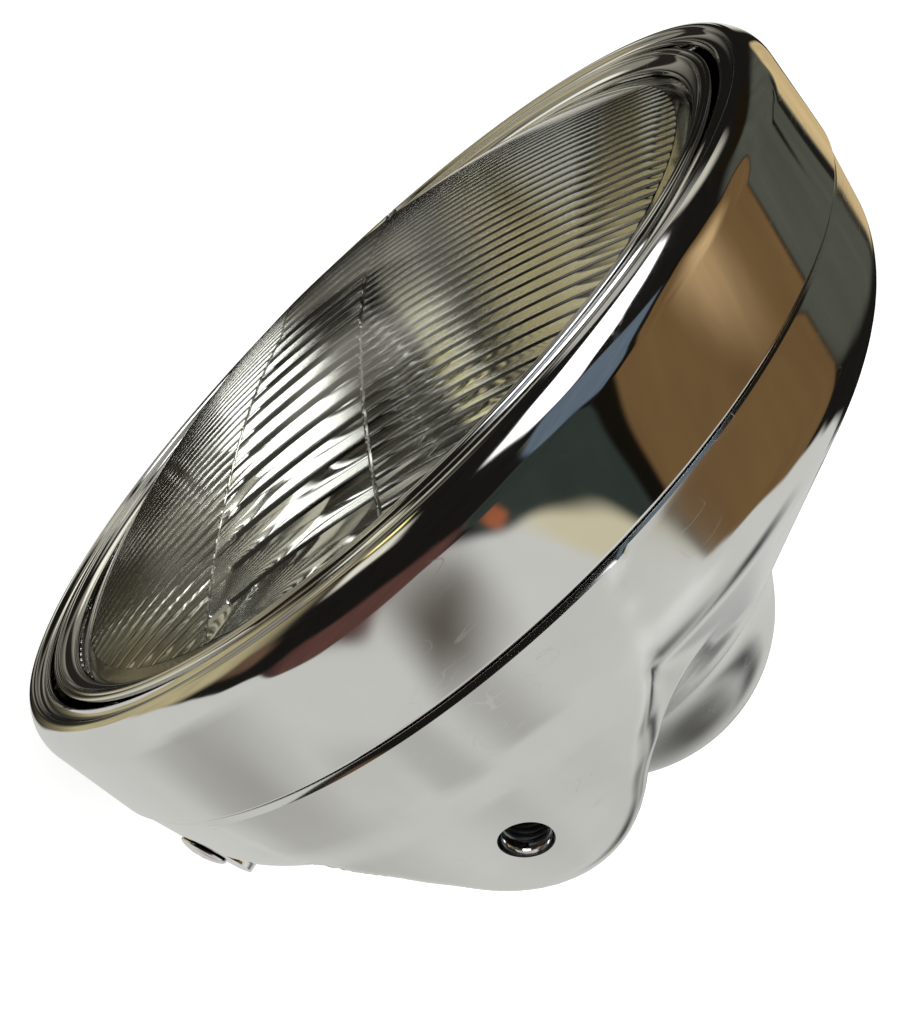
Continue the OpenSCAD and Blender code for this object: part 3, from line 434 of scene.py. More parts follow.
def wornSurfaceGroup():
    # Slow waves, small pits, hairlines and haze, from Object coordinates in metres
    tree, given, result = newTree("wornSurface", "ShaderNodeTree", {
        "Place": (0, 0, 0), "Wave Size": 0.03, "Wave Depth": 0.0, "Pit Spacing": 0.01, "Pit Radius": 0.0003,
        "Pit Share": 0.1, "Pit Depth": 0.0, "Haze Size": 0.03, "Haze Low": 0.03, "Haze High": 0.06,
        "Hairlines": 0.1}, dict.fromkeys(("Height", "Roughness", "Pits", "Tint"), "Float"))
    place = given["Place"]

    wave = noiseNode(place, mathNode("DIVIDE", 1.0, given["Wave Size"]), 1.0)
    height = mathNode("MULTIPLY", mathNode("SUBTRACT", wave, 0.5), given["Wave Depth"])
    # Pits sit in some cells only, and each has its own size
    grain = {"Vector": place, "Scale": mathNode("DIVIDE", 1.0, given["Pit Spacing"])}
    cells = addNode(tree, "ShaderNodeTexVoronoi", grain).outputs
    lots = addNode(tree, "ShaderNodeSeparateColor", {0: cells["Color"]}).outputs
    reach = mathNode("DIVIDE", given["Pit Radius"], given["Pit Spacing"])
    reach = mathNode("MULTIPLY", reach, mathNode("ADD", lots[1], wear["smallestPit"]))
    past = smoothRange(cells["Distance"], mathNode("MULTIPLY", reach, wear["pitFloor"]), reach)
    chosen = mathNode("LESS_THAN", lots[0], given["Pit Share"])
    pits = mathNode("MULTIPLY", chosen, mathNode("SUBTRACT", 1.0, past))
    height = mathNode("SUBTRACT", height, mathNode("MULTIPLY", pits, given["Pit Depth"]))
    # Hairlines are the contours of a stretched noise, kept in patches
    stretched = vectorNode("MULTIPLY", place, wear["hairStretch"])
    lines = mathNode("ABSOLUTE", mathNode("SUBTRACT", noiseNode(stretched, 1.0, 0.0), 0.5))
    lines = mathNode("SUBTRACT", 1.0, smoothRange(lines, *wear["hairEdges"]))
    patches = smoothRange(noiseNode(place, wear["patchScale"], 1.0), *wear["patchEdges"])
    lines = mathNode("MULTIPLY", lines, mathNode("MULTIPLY", patches, given["Hairlines"]))
    haze = noiseNode(place, mathNode("DIVIDE", 1.0, given["Haze Size"]), 4.0, 0.6)
    haze = smoothRange(haze, *wear["hazeEdges"])
    spread = mathNode("SUBTRACT", given["Haze High"], given["Haze Low"])
    rough = mathNode("ADD", mathNode("MULTIPLY", haze, spread), given["Haze Low"])
    rough = mathNode("ADD", rough, mathNode("ADD", lines, mathNode("MULTIPLY", pits, wear["pitRoughness"])))
    for name, value in (("Height", height), ("Roughness", rough), ("Pits", pits), ("Tint", haze)):
        feed(value, result[name])
    return tree


def paintedShadeGroup():
    # A mask for painted shade round one place on each side of the lamp, the shaded valley between lug and
    # nose
    tree, given, result = newTree("sideGrime", "ShaderNodeTree", {
        "Place": (0, 0, 0), "Centre": (0, 0, 0), "Reach": 0.03, "Amount": 0.5}, {"Mask": "Float"})
    folded = vectorNode("ABSOLUTE", given["Place"])
    away = vectorNode("DISTANCE", folded, given["Centre"])
    past = smoothRange(mathNode("DIVIDE", away, given["Reach"]), 0.0, 1.0)
    left = mathNode("SUBTRACT", 1.0, past)
    feed(mathNode("MULTIPLY", left, given["Amount"]), result["Mask"])
    return tree


def bumpedMaterial(name, group, values, sockets):
    # A material whose bump comes from the worn surface group
    material, tree, shader = newMaterial(name, values)
    place = addNode(tree, "ShaderNodeTexCoord").outputs["Object"]
    worn = addNode(tree, "ShaderNodeGroup", {"Place": place, **sockets}, node_tree=group).outputs
    bump = addNode(tree, "ShaderNodeBump", {"Strength": 1.0, "Distance": 1.0, "Height": worn["Height"]})
    feed(bump.outputs[0], shader["Normal"])
    return material, tree, shader, place, worn


def wornMaterial(name, group):
    first, second, metallic, *numbers = finishes[name]
    material, tree, shader, place, worn = bumpedMaterial(
        name, group, {"Metallic": metallic}, dict(zip(wearColumns, numbers)))
    # Dark colour for the pits and for the painted shade in the casting's valleys
    pitAndShadeColour = (*[wear["pitAndShadeShare"] * c for c in second], 1)
    colour = mixColours(worn["Tint"], (*first, 1), (*second, 1))
    colour = mixColours(worn["Pits"], colour, pitAndShadeColour)
    rough = worn["Roughness"]
    # Painted shade in the valley between lug and nose
    if name == paintedShade["finish"]:
        sockets = {"Place": place, **paintedShade["sockets"]}
        mask = addNode(tree, "ShaderNodeGroup", sockets, node_tree=paintedShadeGroup()).outputs["Mask"]
        colour = mixColours(mask, colour, pitAndShadeColour)
        rough = mathNode("MULTIPLY_ADD", mask, paintedShade["roughness"], rough)
    feed(colour, shader["Base Color"])
    feed(rough, shader["Roughness"])
    return material


def glassMaterial(name, group):
    colour, waveDepth = glasses[name]
    material, tree, shader, place, worn = bumpedMaterial(
        name, group, {"Transmission Weight": 1.0, "IOR": glassWear["bend"]},
        {"Wave Size": glassWear["waveSize"], "Wave Depth": waveDepth, "Haze Low": 0.0,
         "Haze High": glassWear["haziest"], "Hairlines": 0.0})
    feed(worn["Roughness"], shader["Roughness"])
    darker = (*[glassWear["darker"] * c for c in colour], 1)
    feed(mixColours(worn["Tint"], (*colour, 1), darker), shader["Base Color"])
    return material


# Meshes. Points are in millimetres until newMesh puts them in metres.

def newMesh(name, points, faces=()):
    mesh = bpy.data.meshes.new(name)
    mesh.from_pydata([tuple(mm * c for c in p) for p in points], [], faces)
    return mesh


def arc(centre, radius, start, end, steps=12):
    points = []
    for i in range(steps + 1):
        turn = math.radians(start + (end - start) * i / steps)
        points.append((centre[0] + radius * math.cos(turn), centre[1] + radius * math.sin(turn)))
    return points


def smoothEdges(mesh, crease=softCrease):
    mesh.shade_smooth()
    mesh.set_sharp_from_angle(angle=math.radians(crease))


def closeMesh(mesh, crease):
    # Merges double points, turns the faces outwards and shades all but the creases smooth
    work = bmesh.new()
    work.from_mesh(mesh)
    bmesh.ops.remove_doubles(work, verts=work.verts, dist=weld)
    bmesh.ops.recalc_face_normals(work, faces=work.faces)
    work.to_mesh(mesh)
    work.free()
    smoothEdges(mesh, crease)


def meshPiece(name, points, faces, material=None, crease=softCrease):
    mesh = newMesh(name, points, faces)
    closeMesh(mesh, crease)
    if material:
        mesh.materials.append(material)
    return newObject(name, mesh)


def spun(outline, place, steps=96):
    # An outline of (radius, height) turned about the local +Z axis
    count = len(outline)
    points = []
    for i in range(steps):
        turn = 2 * math.pi * i / steps
        for radius, height in outline:
            points.append(place @ Vector((radius * math.cos(turn), radius * math.sin(turn), height)))
    faces = []
    for i in range(steps):
        for k in range(count):
            a, b = i * count + k, i * count + (k + 1) % count
            c, d = (i + 1) % steps * count + (k + 1) % count, (i + 1) % steps * count + k
            faces.append((a, b, c, d))
    return points, faces


def rod(radius, start, end, place, steps=48):
    return spun([(0, start), (radius, start), (radius, end), (0, end)], place, steps)


def boxShape(x0, x1, a0, a1, z0, z1):
    # A box whose second pair is distances ahead
    points = [(x, -a, z) for x in (x0, x1) for a in (a0, a1) for z in (z0, z1)]
    return points, [(0, 1, 3, 2), (4, 6, 7, 5), (0, 4, 5, 1), (2, 3, 7, 6), (0, 2, 6, 4), (1, 5, 7, 3)]


def joined(shapes):
    points, faces = [], []
    for shapePoints, shapeFaces in shapes:
        start = len(points)
        points += list(shapePoints)
        faces += [tuple(start + k for k in face) for face in shapeFaces]
    return points, faces


def settleModifier(piece, modifier):
    # Swaps the piece's mesh for what its modifier makes of it
    mesh = bpy.data.meshes.new_from_object(piece.evaluated_get(bpy.context.evaluated_depsgraph_get()))
    piece.modifiers.remove(modifier)
    old, piece.data = piece.data, mesh
    bpy.data.meshes.remove(old)
    mesh.name = piece.name


def carve(piece, tool, operation="DIFFERENCE"):
    # Cuts the tool from the piece, or joins or keeps what both share, and uses the tool up
    if isinstance(tool, tuple):
        tool = meshPiece("tool", *tool)
    modifier = piece.modifiers.new("carve", "BOOLEAN")
    modifier.operation = operation
    modifier.solver = "MANIFOLD"
    modifier.object = tool
    settleModifier(piece, modifier)
    bpy.data.objects.remove(tool)


lampAxis = Matrix.Rotation(math.radians(90), 4, "X")  # turns +Z to the lamp's front
sideways = [Matrix.Rotation(math.radians(90 * side), 4, "Y") for side in (1, -1)]


def turnedPiece(name, outline, material=None, steps=360):
    # An outline of (radius, ahead) turned about the lamp's axis
    return meshPiece(name, *spun(outline, lampAxis, steps), material)


def outwards(degrees, ahead, radius=0.0, lean=0.0):
    # Frame with +Z out from the lamp's axis, at an angle below +X
    place = Matrix.Rotation(math.radians(degrees), 4, "Y") @ Matrix.Translation((radius, -ahead, 0))
    return place @ Matrix.Rotation(math.radians(lean), 4, "Z") @ Matrix.Rotation(math.radians(90), 4, "Y")


# Geometry node trees

def newGeometryTree(name, inputs):
    inputs = {"Geometry": "Geometry", **inputs, "Material": "Material"}
    return newTree(name, "GeometryNodeTree", inputs, {"Geometry": "Geometry"})


def endTree(geometry, given, result):
    tree = geometry.id_data
    real = addNode(tree, "GeometryNodeRealizeInstances", {0: geometry}).outputs[0]
    finish = addNode(tree, "GeometryNodeSetMaterial", {"Geometry": real, "Material": given["Material"]})
    feed(finish.outputs[0], result[0])
    return tree


def grownPiece(name, tree, mesh, values, crease=softCrease):
    # Runs the tree on a mesh and keeps its result as a plain mesh
    base = newObject(name, mesh)
    modifier = base.modifiers.new("grow", "NODES")
    modifier.node_group = tree
    for item in tree.interface.items_tree:
        if item.in_out == "INPUT" and item.name in values:
            modifier[item.identifier] = values[item.name]
    settleModifier(base, modifier)
    smoothEdges(base.data, crease)
    return base


def attributeNode(tree, name, kind):
    node = addNode(tree, "GeometryNodeInputNamedAttribute", {"Name": name}, data_type=kind)
    return node.outputs["Attribute"]


def copiesTree():
    # Puts a copy of an object at each point, turned as the point's facing attribute says
    tree, given, result = newGeometryTree("copiesAtPoints", {"Copy": "Object"})
    copy = addNode(tree, "GeometryNodeObjectInfo", {"Object": given["Copy"]})
    spread = addNode(tree, "GeometryNodeInstanceOnPoints", {
        "Points": given["Geometry"], "Instance": copy.outputs["Geometry"],
        "Rotation": attributeNode(tree, "facing", "FLOAT_VECTOR")})
    return endTree(spread.outputs[0], given, result)


def placesMesh(name, places):
    # One point per frame, with the frame's turn as an attribute
    mesh = newMesh(name, [place.translation for place in places])
    facing = mesh.attributes.new("facing", "FLOAT_VECTOR", "POINT")
    for i, place in enumerate(places):
        facing.data[i].vector = place.to_euler()
    return mesh


def threadTree():
    # A ridge that winds down a hole, once for each side of the lamp
    tree, given, result = newGeometryTree("threadRidges", {
        "Root Radius": 0.004, "Ridge": 0.0006, "Turns": 9.0, "Length": 0.012, "From Centre": 0.077})
    root = given["Root Radius"]
    helix = addNode(tree, "GeometryNodeCurveSpiral", {
        "Resolution": 40, "Start Radius": root, "End Radius": root, "Rotations": given["Turns"],
        "Height": given["Length"]})
    upright = addNode(tree, "GeometryNodeSetCurveNormal", {0: helix.outputs[0]}, mode="Z_UP")
    ridge = {"Resolution": 8, "Radius": given["Ridge"]}
    ridge = addNode(tree, "GeometryNodeCurvePrimitiveCircle", ridge, mode="RADIUS")
    sweep = addNode(tree, "GeometryNodeCurveToMesh", {
        "Fill Caps": True, "Curve": upright.outputs[0], "Profile Curve": ridge.outputs[0]})
    raised = addNode(tree, "GeometryNodeTransform", {
        "Geometry": sweep.outputs[0], "Translation": joinNode(None, None, given["From Centre"])})
    both = addNode(tree, "GeometryNodeJoinGeometry")
    for side in (1, -1):
        laid = {"Rotation": (0, math.radians(90 * side), 0), "Geometry": raised.outputs[0]}
        feed(addNode(tree, "GeometryNodeTransform", laid).outputs[0], both.inputs[0])
    return endTree(both.outputs[0], given, result)


def flutesTree():
    # Sinks the points of the glass's inner face into upright flutes
    tree, given, result = newGeometryTree("uprightFlutes", {"Gap": 0.00025, "Depth": 0.00035})
    place = addNode(tree, "GeometryNodeInputPosition").outputs[0]
    pitch = attributeNode(tree, "pitch", "FLOAT")
    across = mathNode("FRACT", mathNode("DIVIDE", splitNode(place)[0], pitch))
    slope = mathNode("MULTIPLY_ADD", across, 2.0, -1.0)
    groove = mathNode("MULTIPLY", mathNode("MULTIPLY", slope, slope), given["Depth"])
    sunk = mathNode("ADD", groove, given["Gap"])
    sunk = mathNode("MULTIPLY", sunk, attributeNode(tree, "relief", "FLOAT"))
    away = joinNode(None, mathNode("MULTIPLY", sunk, -1.0))
    moved = addNode(tree, "GeometryNodeSetPosition", {"Geometry": given["Geometry"], "Offset": away})
    return endTree(moved.outputs[0], given, result)


# Rim, inner ring and mirror

adjuster = {
    "radius": ringRadius + 3.8,
    "notch": 2.0,
    "plateAhead": 32.5,
    "plateThick": 2.0,
    "plateHalf": 5.0,
    "nutHalf": 2.9,
    "shank": 2.8,
}
ringEars = {
    "swivelAhead": 40.0,
    "swivelBack": 34.0,
    "swivelHalf": 9.0,
    "swivelHole": 3.0,
    "adjusterHalf": 12.0,
    "earInside": 60,
    "clipTurns": (-45, -135, 125, 55),
    "clipHole": 1.5,
    "clipBehind": 4.4,
}
mirrorSize = {
    "neck": 19.6,
    "neckLength": 1.4,
    "sheet": 1.0,
    "steps": 80,
}
adjusterPlace = Matrix.Translation((-adjuster["radius"], 0, 0)) @ lampAxis


def buildOuterRim(material):
    r, lip, sheet, roll = lamp["rimRadius"], lipRadius, lamp["sheet"], lamp["rimRoll"]
    hub = (r - lamp["rimRound"], barrelEnd)
    outline = arc((r - roll, lamp["seamAhead"] + roll), roll, -90, 0, 10)  # rolled edge at the seam
    outline += arc(hub, lamp["rimRound"], 0, 52, 24)
    outline += arc((r - 3.8, rimFront - 1.05), 1.05, 50, 150, 10)  # front bead
    outline += arc((lip + 1.75, rimFront + 0.15), 1.55, -25, -145, 12)  # cove
    outline += arc((lip + 0.6, rimFront - 1.3), 0.6, 100, 180, 6)  # rolled lip
    outline += [(lip, rimFront - 2.7), (lip + 1.2, rimFront - 2.7), (lip + 2.3, rimFront - 2.5)]
    outline += [(lip + 3.3, rimFront - 1.7)]
    outline += arc(hub, lamp["rimRound"] - sheet, 50, 0, 16)
    outline += [(r - sheet, lamp["seamAhead"])]
    rim = turnedPiece("rim", outline, material)
    # Notch that lets a driver reach the adjuster
    notch = adjuster["notch"]
    carve(rim, rod(notch, barrelEnd, rimFront + 1, adjusterPlace))
    carve(rim, boxShape(-adjuster["radius"], 2 - lip, barrelEnd, rimFront + 1, -notch, notch))
    smoothEdges(rim.data)
    return rim


def buildUnitRing(material):
    back, thick, r, edge = adjuster["plateAhead"], adjuster["plateThick"], ringRadius, glassEdge
    outline = [(r, back), (r, ringFront - 1)]
    outline += arc((r - 0.7, ringFront - 0.55), 0.55, 20, 150, 10)  # outer bead
    outline += arc((r - 1.7, ringFront - 0.6), 0.5, 40, 160, 10)  # inner bead
    outline += [(r - 2.8, ringFront - 1), (edge + 1.1, ringFront - 1.7)]
    outline += arc((edge + 0.7, domeAhead(edge) + 0.5), 0.5, 80, 190, 8)  # lip on the glass
    outline += [(edge + 0.2, glassFlangeFront + 0.6), (edge + 1.6, glassFlangeFront + 0.6)]
    outline += [(skirtRadius - 0.8, ringFront - 1.9), (skirtRadius, ringFront - 1.9), (skirtRadius, back)]
    ring = turnedPiece("innerRing", outline, material)
    # The skirt is cut back everywhere but at its ears
    inside, outside = skirtRadius - 3, r + 3
    waste = [(inside, back - 5), (outside, back - 5), (outside, skirtBack), (inside, skirtBack)]
    cutter = turnedPiece("skirtWaste", waste)
    half, near, far = ringEars["swivelHalf"], ringEars["earInside"], outside + 5
    for z0, z1 in ((near, far), (-far, -near)):
        carve(cutter, boxShape(-half, half, ringEars["swivelBack"], skirtBack + 5, z0, z1))
    half = ringEars["adjusterHalf"]
    carve(cutter, boxShape(-far, -near, back - 10, skirtBack + 5, -half, half))
    carve(ring, cutter)
    # Plate for the adjuster's nut
    reach, half = adjuster["radius"] + adjuster["nutHalf"], adjuster["plateHalf"]
    carve(ring, boxShape(-reach, 0.3 - skirtRadius, back + 0.01, back + thick, -half, half), "UNION")
    end, behind, holes = lamp["rimRadius"], mirrorFront - ringEars["clipBehind"], []
    for turn in (90, -90):
        holes.append(rod(ringEars["swivelHole"], edge, end, outwards(turn, ringEars["swivelAhead"])))
    for turn in ringEars["clipTurns"]:
        holes.append(rod(ringEars["clipHole"], edge, end, outwards(turn, behind), 32))
    holes.append(rod(adjuster["shank"], back - 1, back + thick + 1, adjusterPlace))
    carve(ring, joined(holes))
    smoothEdges(ring.data)
    return ring


def buildReflector(material):
    neck, sheet, steps = mirrorSize["neck"], mirrorSize["sheet"], mirrorSize["steps"]
    back = mirrorVertex - mirrorSize["neckLength"]

    def bowl(r):
        return mirrorVertex + r * r / 4 / lamp["focal"]

    widths = [(mirrorMouth - neck) * i / steps for i in range(steps + 1)]
    outline = [(neck + wide, bowl(neck + wide)) for wide in widths]
    outline += [(glassFlangeRadius, mirrorFront), (glassFlangeRadius, mirrorFront - sheet)]
    outline += [(mirrorMouth + 0.8, mirrorFront - sheet)]
    for wide in widths[-2::-1]:
        r = neck + sheet + wide
        outline.append((r, bowl(r) - sheet * math.sqrt(1 + (r / 2 / lamp["focal"]) ** 2)))
    return turnedPiece("mirror", outline + [(neck + sheet, back), (neck, back)], material)


# Bucket: band, shoulder, cone, hollow and nose turned about the lamp's axis, with a lug blended in each side

bucket = {
    "radius": 94.5,
    "front": 31.6,
    "wall": 3.0,
    "draft": 5.7,
    "coneAngle": 48.0,
    "shoulderAhead": 13.2,
    "shoulderRound": 16.0,
    "noseRadius": 39.0,
    "noseBack": 67.0,
    "hollow": 55.0,
    "spigotRadius": 93.5,
    "spigotBore": 90.9,
    "spigotFront": 35.0,
    "boreBack": 25.7,
    "lugFace": 89.6,
    "lugLean": 0.16,
    "lugCentre": 6.3,
    "lugRadius": 22.3,
    "lugFlare": 0.0054,
    "lugFlareFrom": 55.0,
    "lugEnd": 120,
    "lugEdge": 4.0,
    "lugFillet": 15.0,
    "lugSpan": (-40, 32, 400),
    "lugBehind": -5.0,
    "filletShare": 1.2,
    "filletLeast": 0.5,
    "faceFillet": 1.5,
    "edgeShare": 0.5,
    "edgeLeast": 0.05,
    "around": 360,
    "along": 170,
    "crowding": 0.45,
    "inside": 24,
    "insideStart": 0.12,
    "heart": 8.0,
    "reach": (20.0, 120.0),
    "wallReach": (10.0, 110.0),
    "smoothing": 30,
    "smoothFrom": -16.0,
    "smoothOver": 5,
    "crease": 32.0,
}
landSize = {
    "turn": 41.0,
    "ahead": 18.0,
    "front": 30.8,
    "back": 11.0,
    "halfWidth": 11.0,
    "corner": 5.0,
    "depth": 11.0,
    "sunk": 0.02,
    "proud": 0.16,
    "stud": (6.5, -5, -2),
}
boltHole = {
    "drill": 3.4,
    "root": 4.05,
    "mouth": 4.55,
    "depth": 14.0,
    "bossRadius": 8.0,
    "bossSunk": 3.0,
    "bossEnd": 84.0,
    "dullReach": 1.03,
    "pitch": 1.25,
    "ridge": 0.42,
    "ridgeStart": 1.6,
    "ridgeShort": 4.2,
}
wireInlet = {
    "ahead": -12.0,
    "hole": 8.0,
    "holeSpan": (-8, 4),
    "pad": 12.5,
    "sunk": 3.9,
    "proud": 0.8,
    "bevel": 0.4,
}
# Countersunk hole of a rim screw, as (radius, height) from the band
sinkOutline = [(0, -12), (2.75, -12), (2.75, -2.3), (4.9, -0.15), (5.1, 0.1), (5.1, 6), (0, 6)]
# Pocket that clears the adjuster: its outline, and the box that bounds it
pocketOutline = [(skirtRadius, 27.4), (93.2, 27.4), (93.2, 31.8), (95, 31.8), (95, 37), (skirtRadius, 37)]
pocketBox = (-96, -60, 20, 40, -6.5, 6.5)


def halved(inside, low, high, rounds=34):
    # Closes in on the place between low and high where inside stops being true
    for _ in range(rounds):
        middle = (low + high) / 2
        within = inside(middle)
        low, high = np.where(within, middle, low), np.where(within, high, middle)
    return low


draft, coneTurn = math.radians(bucket["draft"]), math.radians(bucket["coneAngle"])
bandOut, coneOut = (np.array((math.cos(turn), -math.sin(turn))) for turn in (draft, coneTurn))
coneUp = np.array((math.sin(coneTurn), math.cos(coneTurn)))


def bandRadius(ahead):
    return bucket["radius"] - (bucket["front"] - ahead) * math.tan(draft)


# Corner between band and cone, and the centres that shoulder, nose and hollow are turned about
corner = np.array((bandRadius(bucket["shoulderAhead"]), bucket["shoulderAhead"]))
shoulderHub = corner - bucket["shoulderRound"] * (bandOut + coneOut) / (1 + bandOut @ coneOut)
noseHub = np.array((0.0, bucket["noseRadius"] - bucket["noseBack"]))
hollowReach = bucket["noseRadius"] + bucket["hollow"]
hollowOff = (corner - noseHub) @ coneOut + bucket["hollow"]
hollowHub = noseHub + hollowOff * coneOut + math.sqrt(hollowReach ** 2 - hollowOff ** 2) * coneUp
screwRadius = bandRadius(landSize["ahead"]) + landSize["proud"]


def smoothMin(a, b, width):
    blend = np.maximum(width - np.abs(a - b), 0) / width
    return np.minimum(a, b) - blend ** 2 * width / 4


def bodyGap(r, a):
    # Distance from the turned body in millimetres, below 0 inside it
    band, cone = ((r - corner[0]) * out[0] + (a - corner[1]) * out[1] for out in (bandOut, coneOut))
    dr, da = r - shoulderHub[0], a - shoulderHub[1]
    shoulder = np.hypot(dr, da) - bucket["shoulderRound"]
    turn = np.degrees(np.arctan2(-da, dr))
    outer = np.where(turn < bucket["draft"], band, np.where(turn > bucket["coneAngle"], cone, shoulder))
    # The hollow between cone and nose
    hr, ha = r - hollowHub[0], a - hollowHub[1]
    hollow = bucket["hollow"] - np.hypot(hr, ha)
    nose = np.hypot(r, a - noseHub[1]) - bucket["noseRadius"]
    around = np.degrees(np.arctan2(ha, hr))
    around = np.where(around < 0, around + 360, around)
    toNose = math.degrees(math.atan2(noseHub[1] - hollowHub[1], -hollowHub[0]))
    fromCone = 180 - bucket["coneAngle"]
    inner = np.where(around < fromCone, outer, np.where(around > toNose, nose, hollow))
    behind = (hr < 0) & (around >= fromCone)
    return np.where(behind, inner, np.where(a < noseHub[1], nose, outer))


def bodyRadius(a):
    return halved(lambda r: bodyGap(r, a) < 0, np.zeros_like(a), np.full_like(a, 100.0), 30)


def bucketGap(x, a, z):
    # The same for the body with its lugs
    size = bucket
    r = np.hypot(x, z)
    body = bodyGap(r, a)
    ahead = np.linspace(*size["lugSpan"])
    rise = np.interp(a, ahead, size["lugFace"] + size["lugLean"] * ahead - bodyRadius(ahead))
    da, dz = size["lugCentre"] - a, np.abs(z)
    turn = np.degrees(np.arctan2(dz, da))
    reach = size["lugRadius"] + size["lugFlare"] * np.maximum(0, turn - size["lugFlareFrom"]) ** 2
    side = np.where(turn > size["lugEnd"], size["lugBehind"], np.hypot(da, dz) - reach)
    face = r - (size["lugFace"] + size["lugLean"] * a)
    fillet = np.clip(size["filletShare"] * rise, size["filletLeast"], size["lugFillet"])
    lug = smoothMin(body, side, fillet)
    top = smoothMin(face, body, size["faceFillet"])
    edge = np.clip(size["edgeShare"] * rise, size["edgeLeast"], size["lugEdge"])
    deep = np.maximum(lug + edge, 0), np.maximum(top + edge, 0)
    return np.minimum(np.maximum(lug + edge, top + edge), 0) + np.hypot(*deep) - edge


def screwPlaces():
    left = outwards(landSize["turn"], landSize["ahead"], screwRadius, bucket["draft"])
    return left, Matrix.Scale(-1, 4, (1, 0, 0)) @ left


def inletPlace():
    radius = float(bodyRadius(np.array([wireInlet["ahead"]]))[0])
    tip = Matrix.Rotation(math.radians(bucket["coneAngle"] - 180), 4, "X")
    return Matrix.Translation((0, -wireInlet["ahead"], -radius)) @ tip


def buildCasting(material):
    # The plain shell, found along rays from a point on the axis
    size = bucket
    around, along, heart, count = size["around"], size["along"], size["heart"], size["inside"]
    even = np.arange(around) / around
    # The rays are closer together near the lugs
    turns = 2 * np.pi * even - 0.5 * size["crowding"] * np.sin(4 * np.pi * even)
    endTurn = math.atan2(size["radius"], heart - size["front"])
    dips = np.linspace(0, endTurn, along + 1)
    dirs = np.stack([np.outer(np.sin(dips), np.cos(turns)), np.outer(-np.cos(dips), np.ones(around)),
                     np.outer(np.sin(dips), np.sin(turns))])

    def inShape(far):
        return bucketGap(dirs[0] * far, heart + dirs[1] * far, dirs[2] * far) < 0

    low = halved(inShape, *(np.full(dirs.shape[1:], far) for far in size["reach"]))
    # Evens out the valleys between lugs and nose
    fade = np.clip((size["smoothFrom"] - heart - dirs[1] * low) / size["smoothOver"], 0, 1)[1:-1]
    for _ in range(size["smoothing"]):
        mean = (np.roll(low, 1, 1) + np.roll(low, -1, 1))[1:-1] + low[:-2] + low[2:]
        low[1:-1] += 0.5 * fade * (mean / 4 - low[1:-1])
    x, a, z = dirs[0] * low, heart + dirs[1] * low, dirs[2] * low
    rows = [np.stack([x[i], -a[i], z[i]], 1) for i in range(1, along)]
    # Front edge, spigot and inner wall, turned
    r, front, end, bore = size["radius"], size["front"], size["spigotFront"], size["spigotBore"]
    edge = [(r - 0.03, front - 0.6), (r - 0.25, front - 0.15), (r - 0.6, front),
            (size["spigotRadius"], front), (size["spigotRadius"], end), (bore, end), (bore, size["boreBack"])]
    dips = (endTurn - size["insideStart"]) * (1 - np.arange(1, count + 1) / (count + 1))

    def inWall(far):
        return bodyGap(np.sin(dips) * far, heart - np.cos(dips) * far) < -size["wall"]

    far = halved(inWall, *(np.full(count, far) for far in size["wallReach"]))
    for r, ahead in edge + list(zip(np.sin(dips) * far, heart - np.cos(dips) * far)):
        rows.append(np.stack([r * np.cos(turns), np.full(around, -ahead), r * np.sin(turns)], 1))
    points = [(0, size["noseBack"], 0)] + [tuple(p) for row in rows for p in row]
    points.append((0, size["noseBack"] - size["wall"], 0))
    faces = []
    last = len(points) - 1
    end = 1 + (len(rows) - 1) * around
    for i in range(around):
        j = (i + 1) % around
        faces.append((0, 1 + i, 1 + j))
        for k in range(1, end, around):
            faces.append((k + i, k + i + around, k + j + around, k + j))
        faces.append((end + i, last, end + j))
    return meshPiece("bucketShell", points, faces, material)


def screwLands():
    # Pads under the rim screws: the band's line runs on over the shoulder and ends in a step
    size = landSize
    half, corner, back = size["halfWidth"], size["corner"], size["back"]
    outline = [(half, size["front"]), (-half, size["front"])]
    outline += arc((corner - half, back + corner), corner, 180, 270, 8)
    outline += arc((half - corner, back + corner), corner, 270, 360, 8)
    count = len(outline)
    low, high = screwRadius - size["depth"], screwRadius + 4
    turned = Matrix.Rotation(math.radians(size["turn"]), 4, "Y")
    shapes = []
    for flip in (1, -1):
        spots = [turned @ Vector((radius, -ahead, t)) for radius in (low, high) for t, ahead in outline]
        faces = [tuple(range(count)), tuple(range(count, 2 * count))]
        faces += [(k, (k + 1) % count, count + (k + 1) % count, count + k) for k in range(count)]
        shapes.append(([(flip * spot.x, spot.y, spot.z) for spot in spots], faces))
    lands = meshPiece("screwLands", *joined(shapes))
    start, end = back - 2, size["front"] + 0.5
    hoop = [(low + 1, start), (bandRadius(start) - size["sunk"], start)]
    hoop += [(bandRadius(end) - size["sunk"], end), (low + 1, end)]
    carve(lands, spun(hoop, lampAxis, 360), "INTERSECT")
    return lands


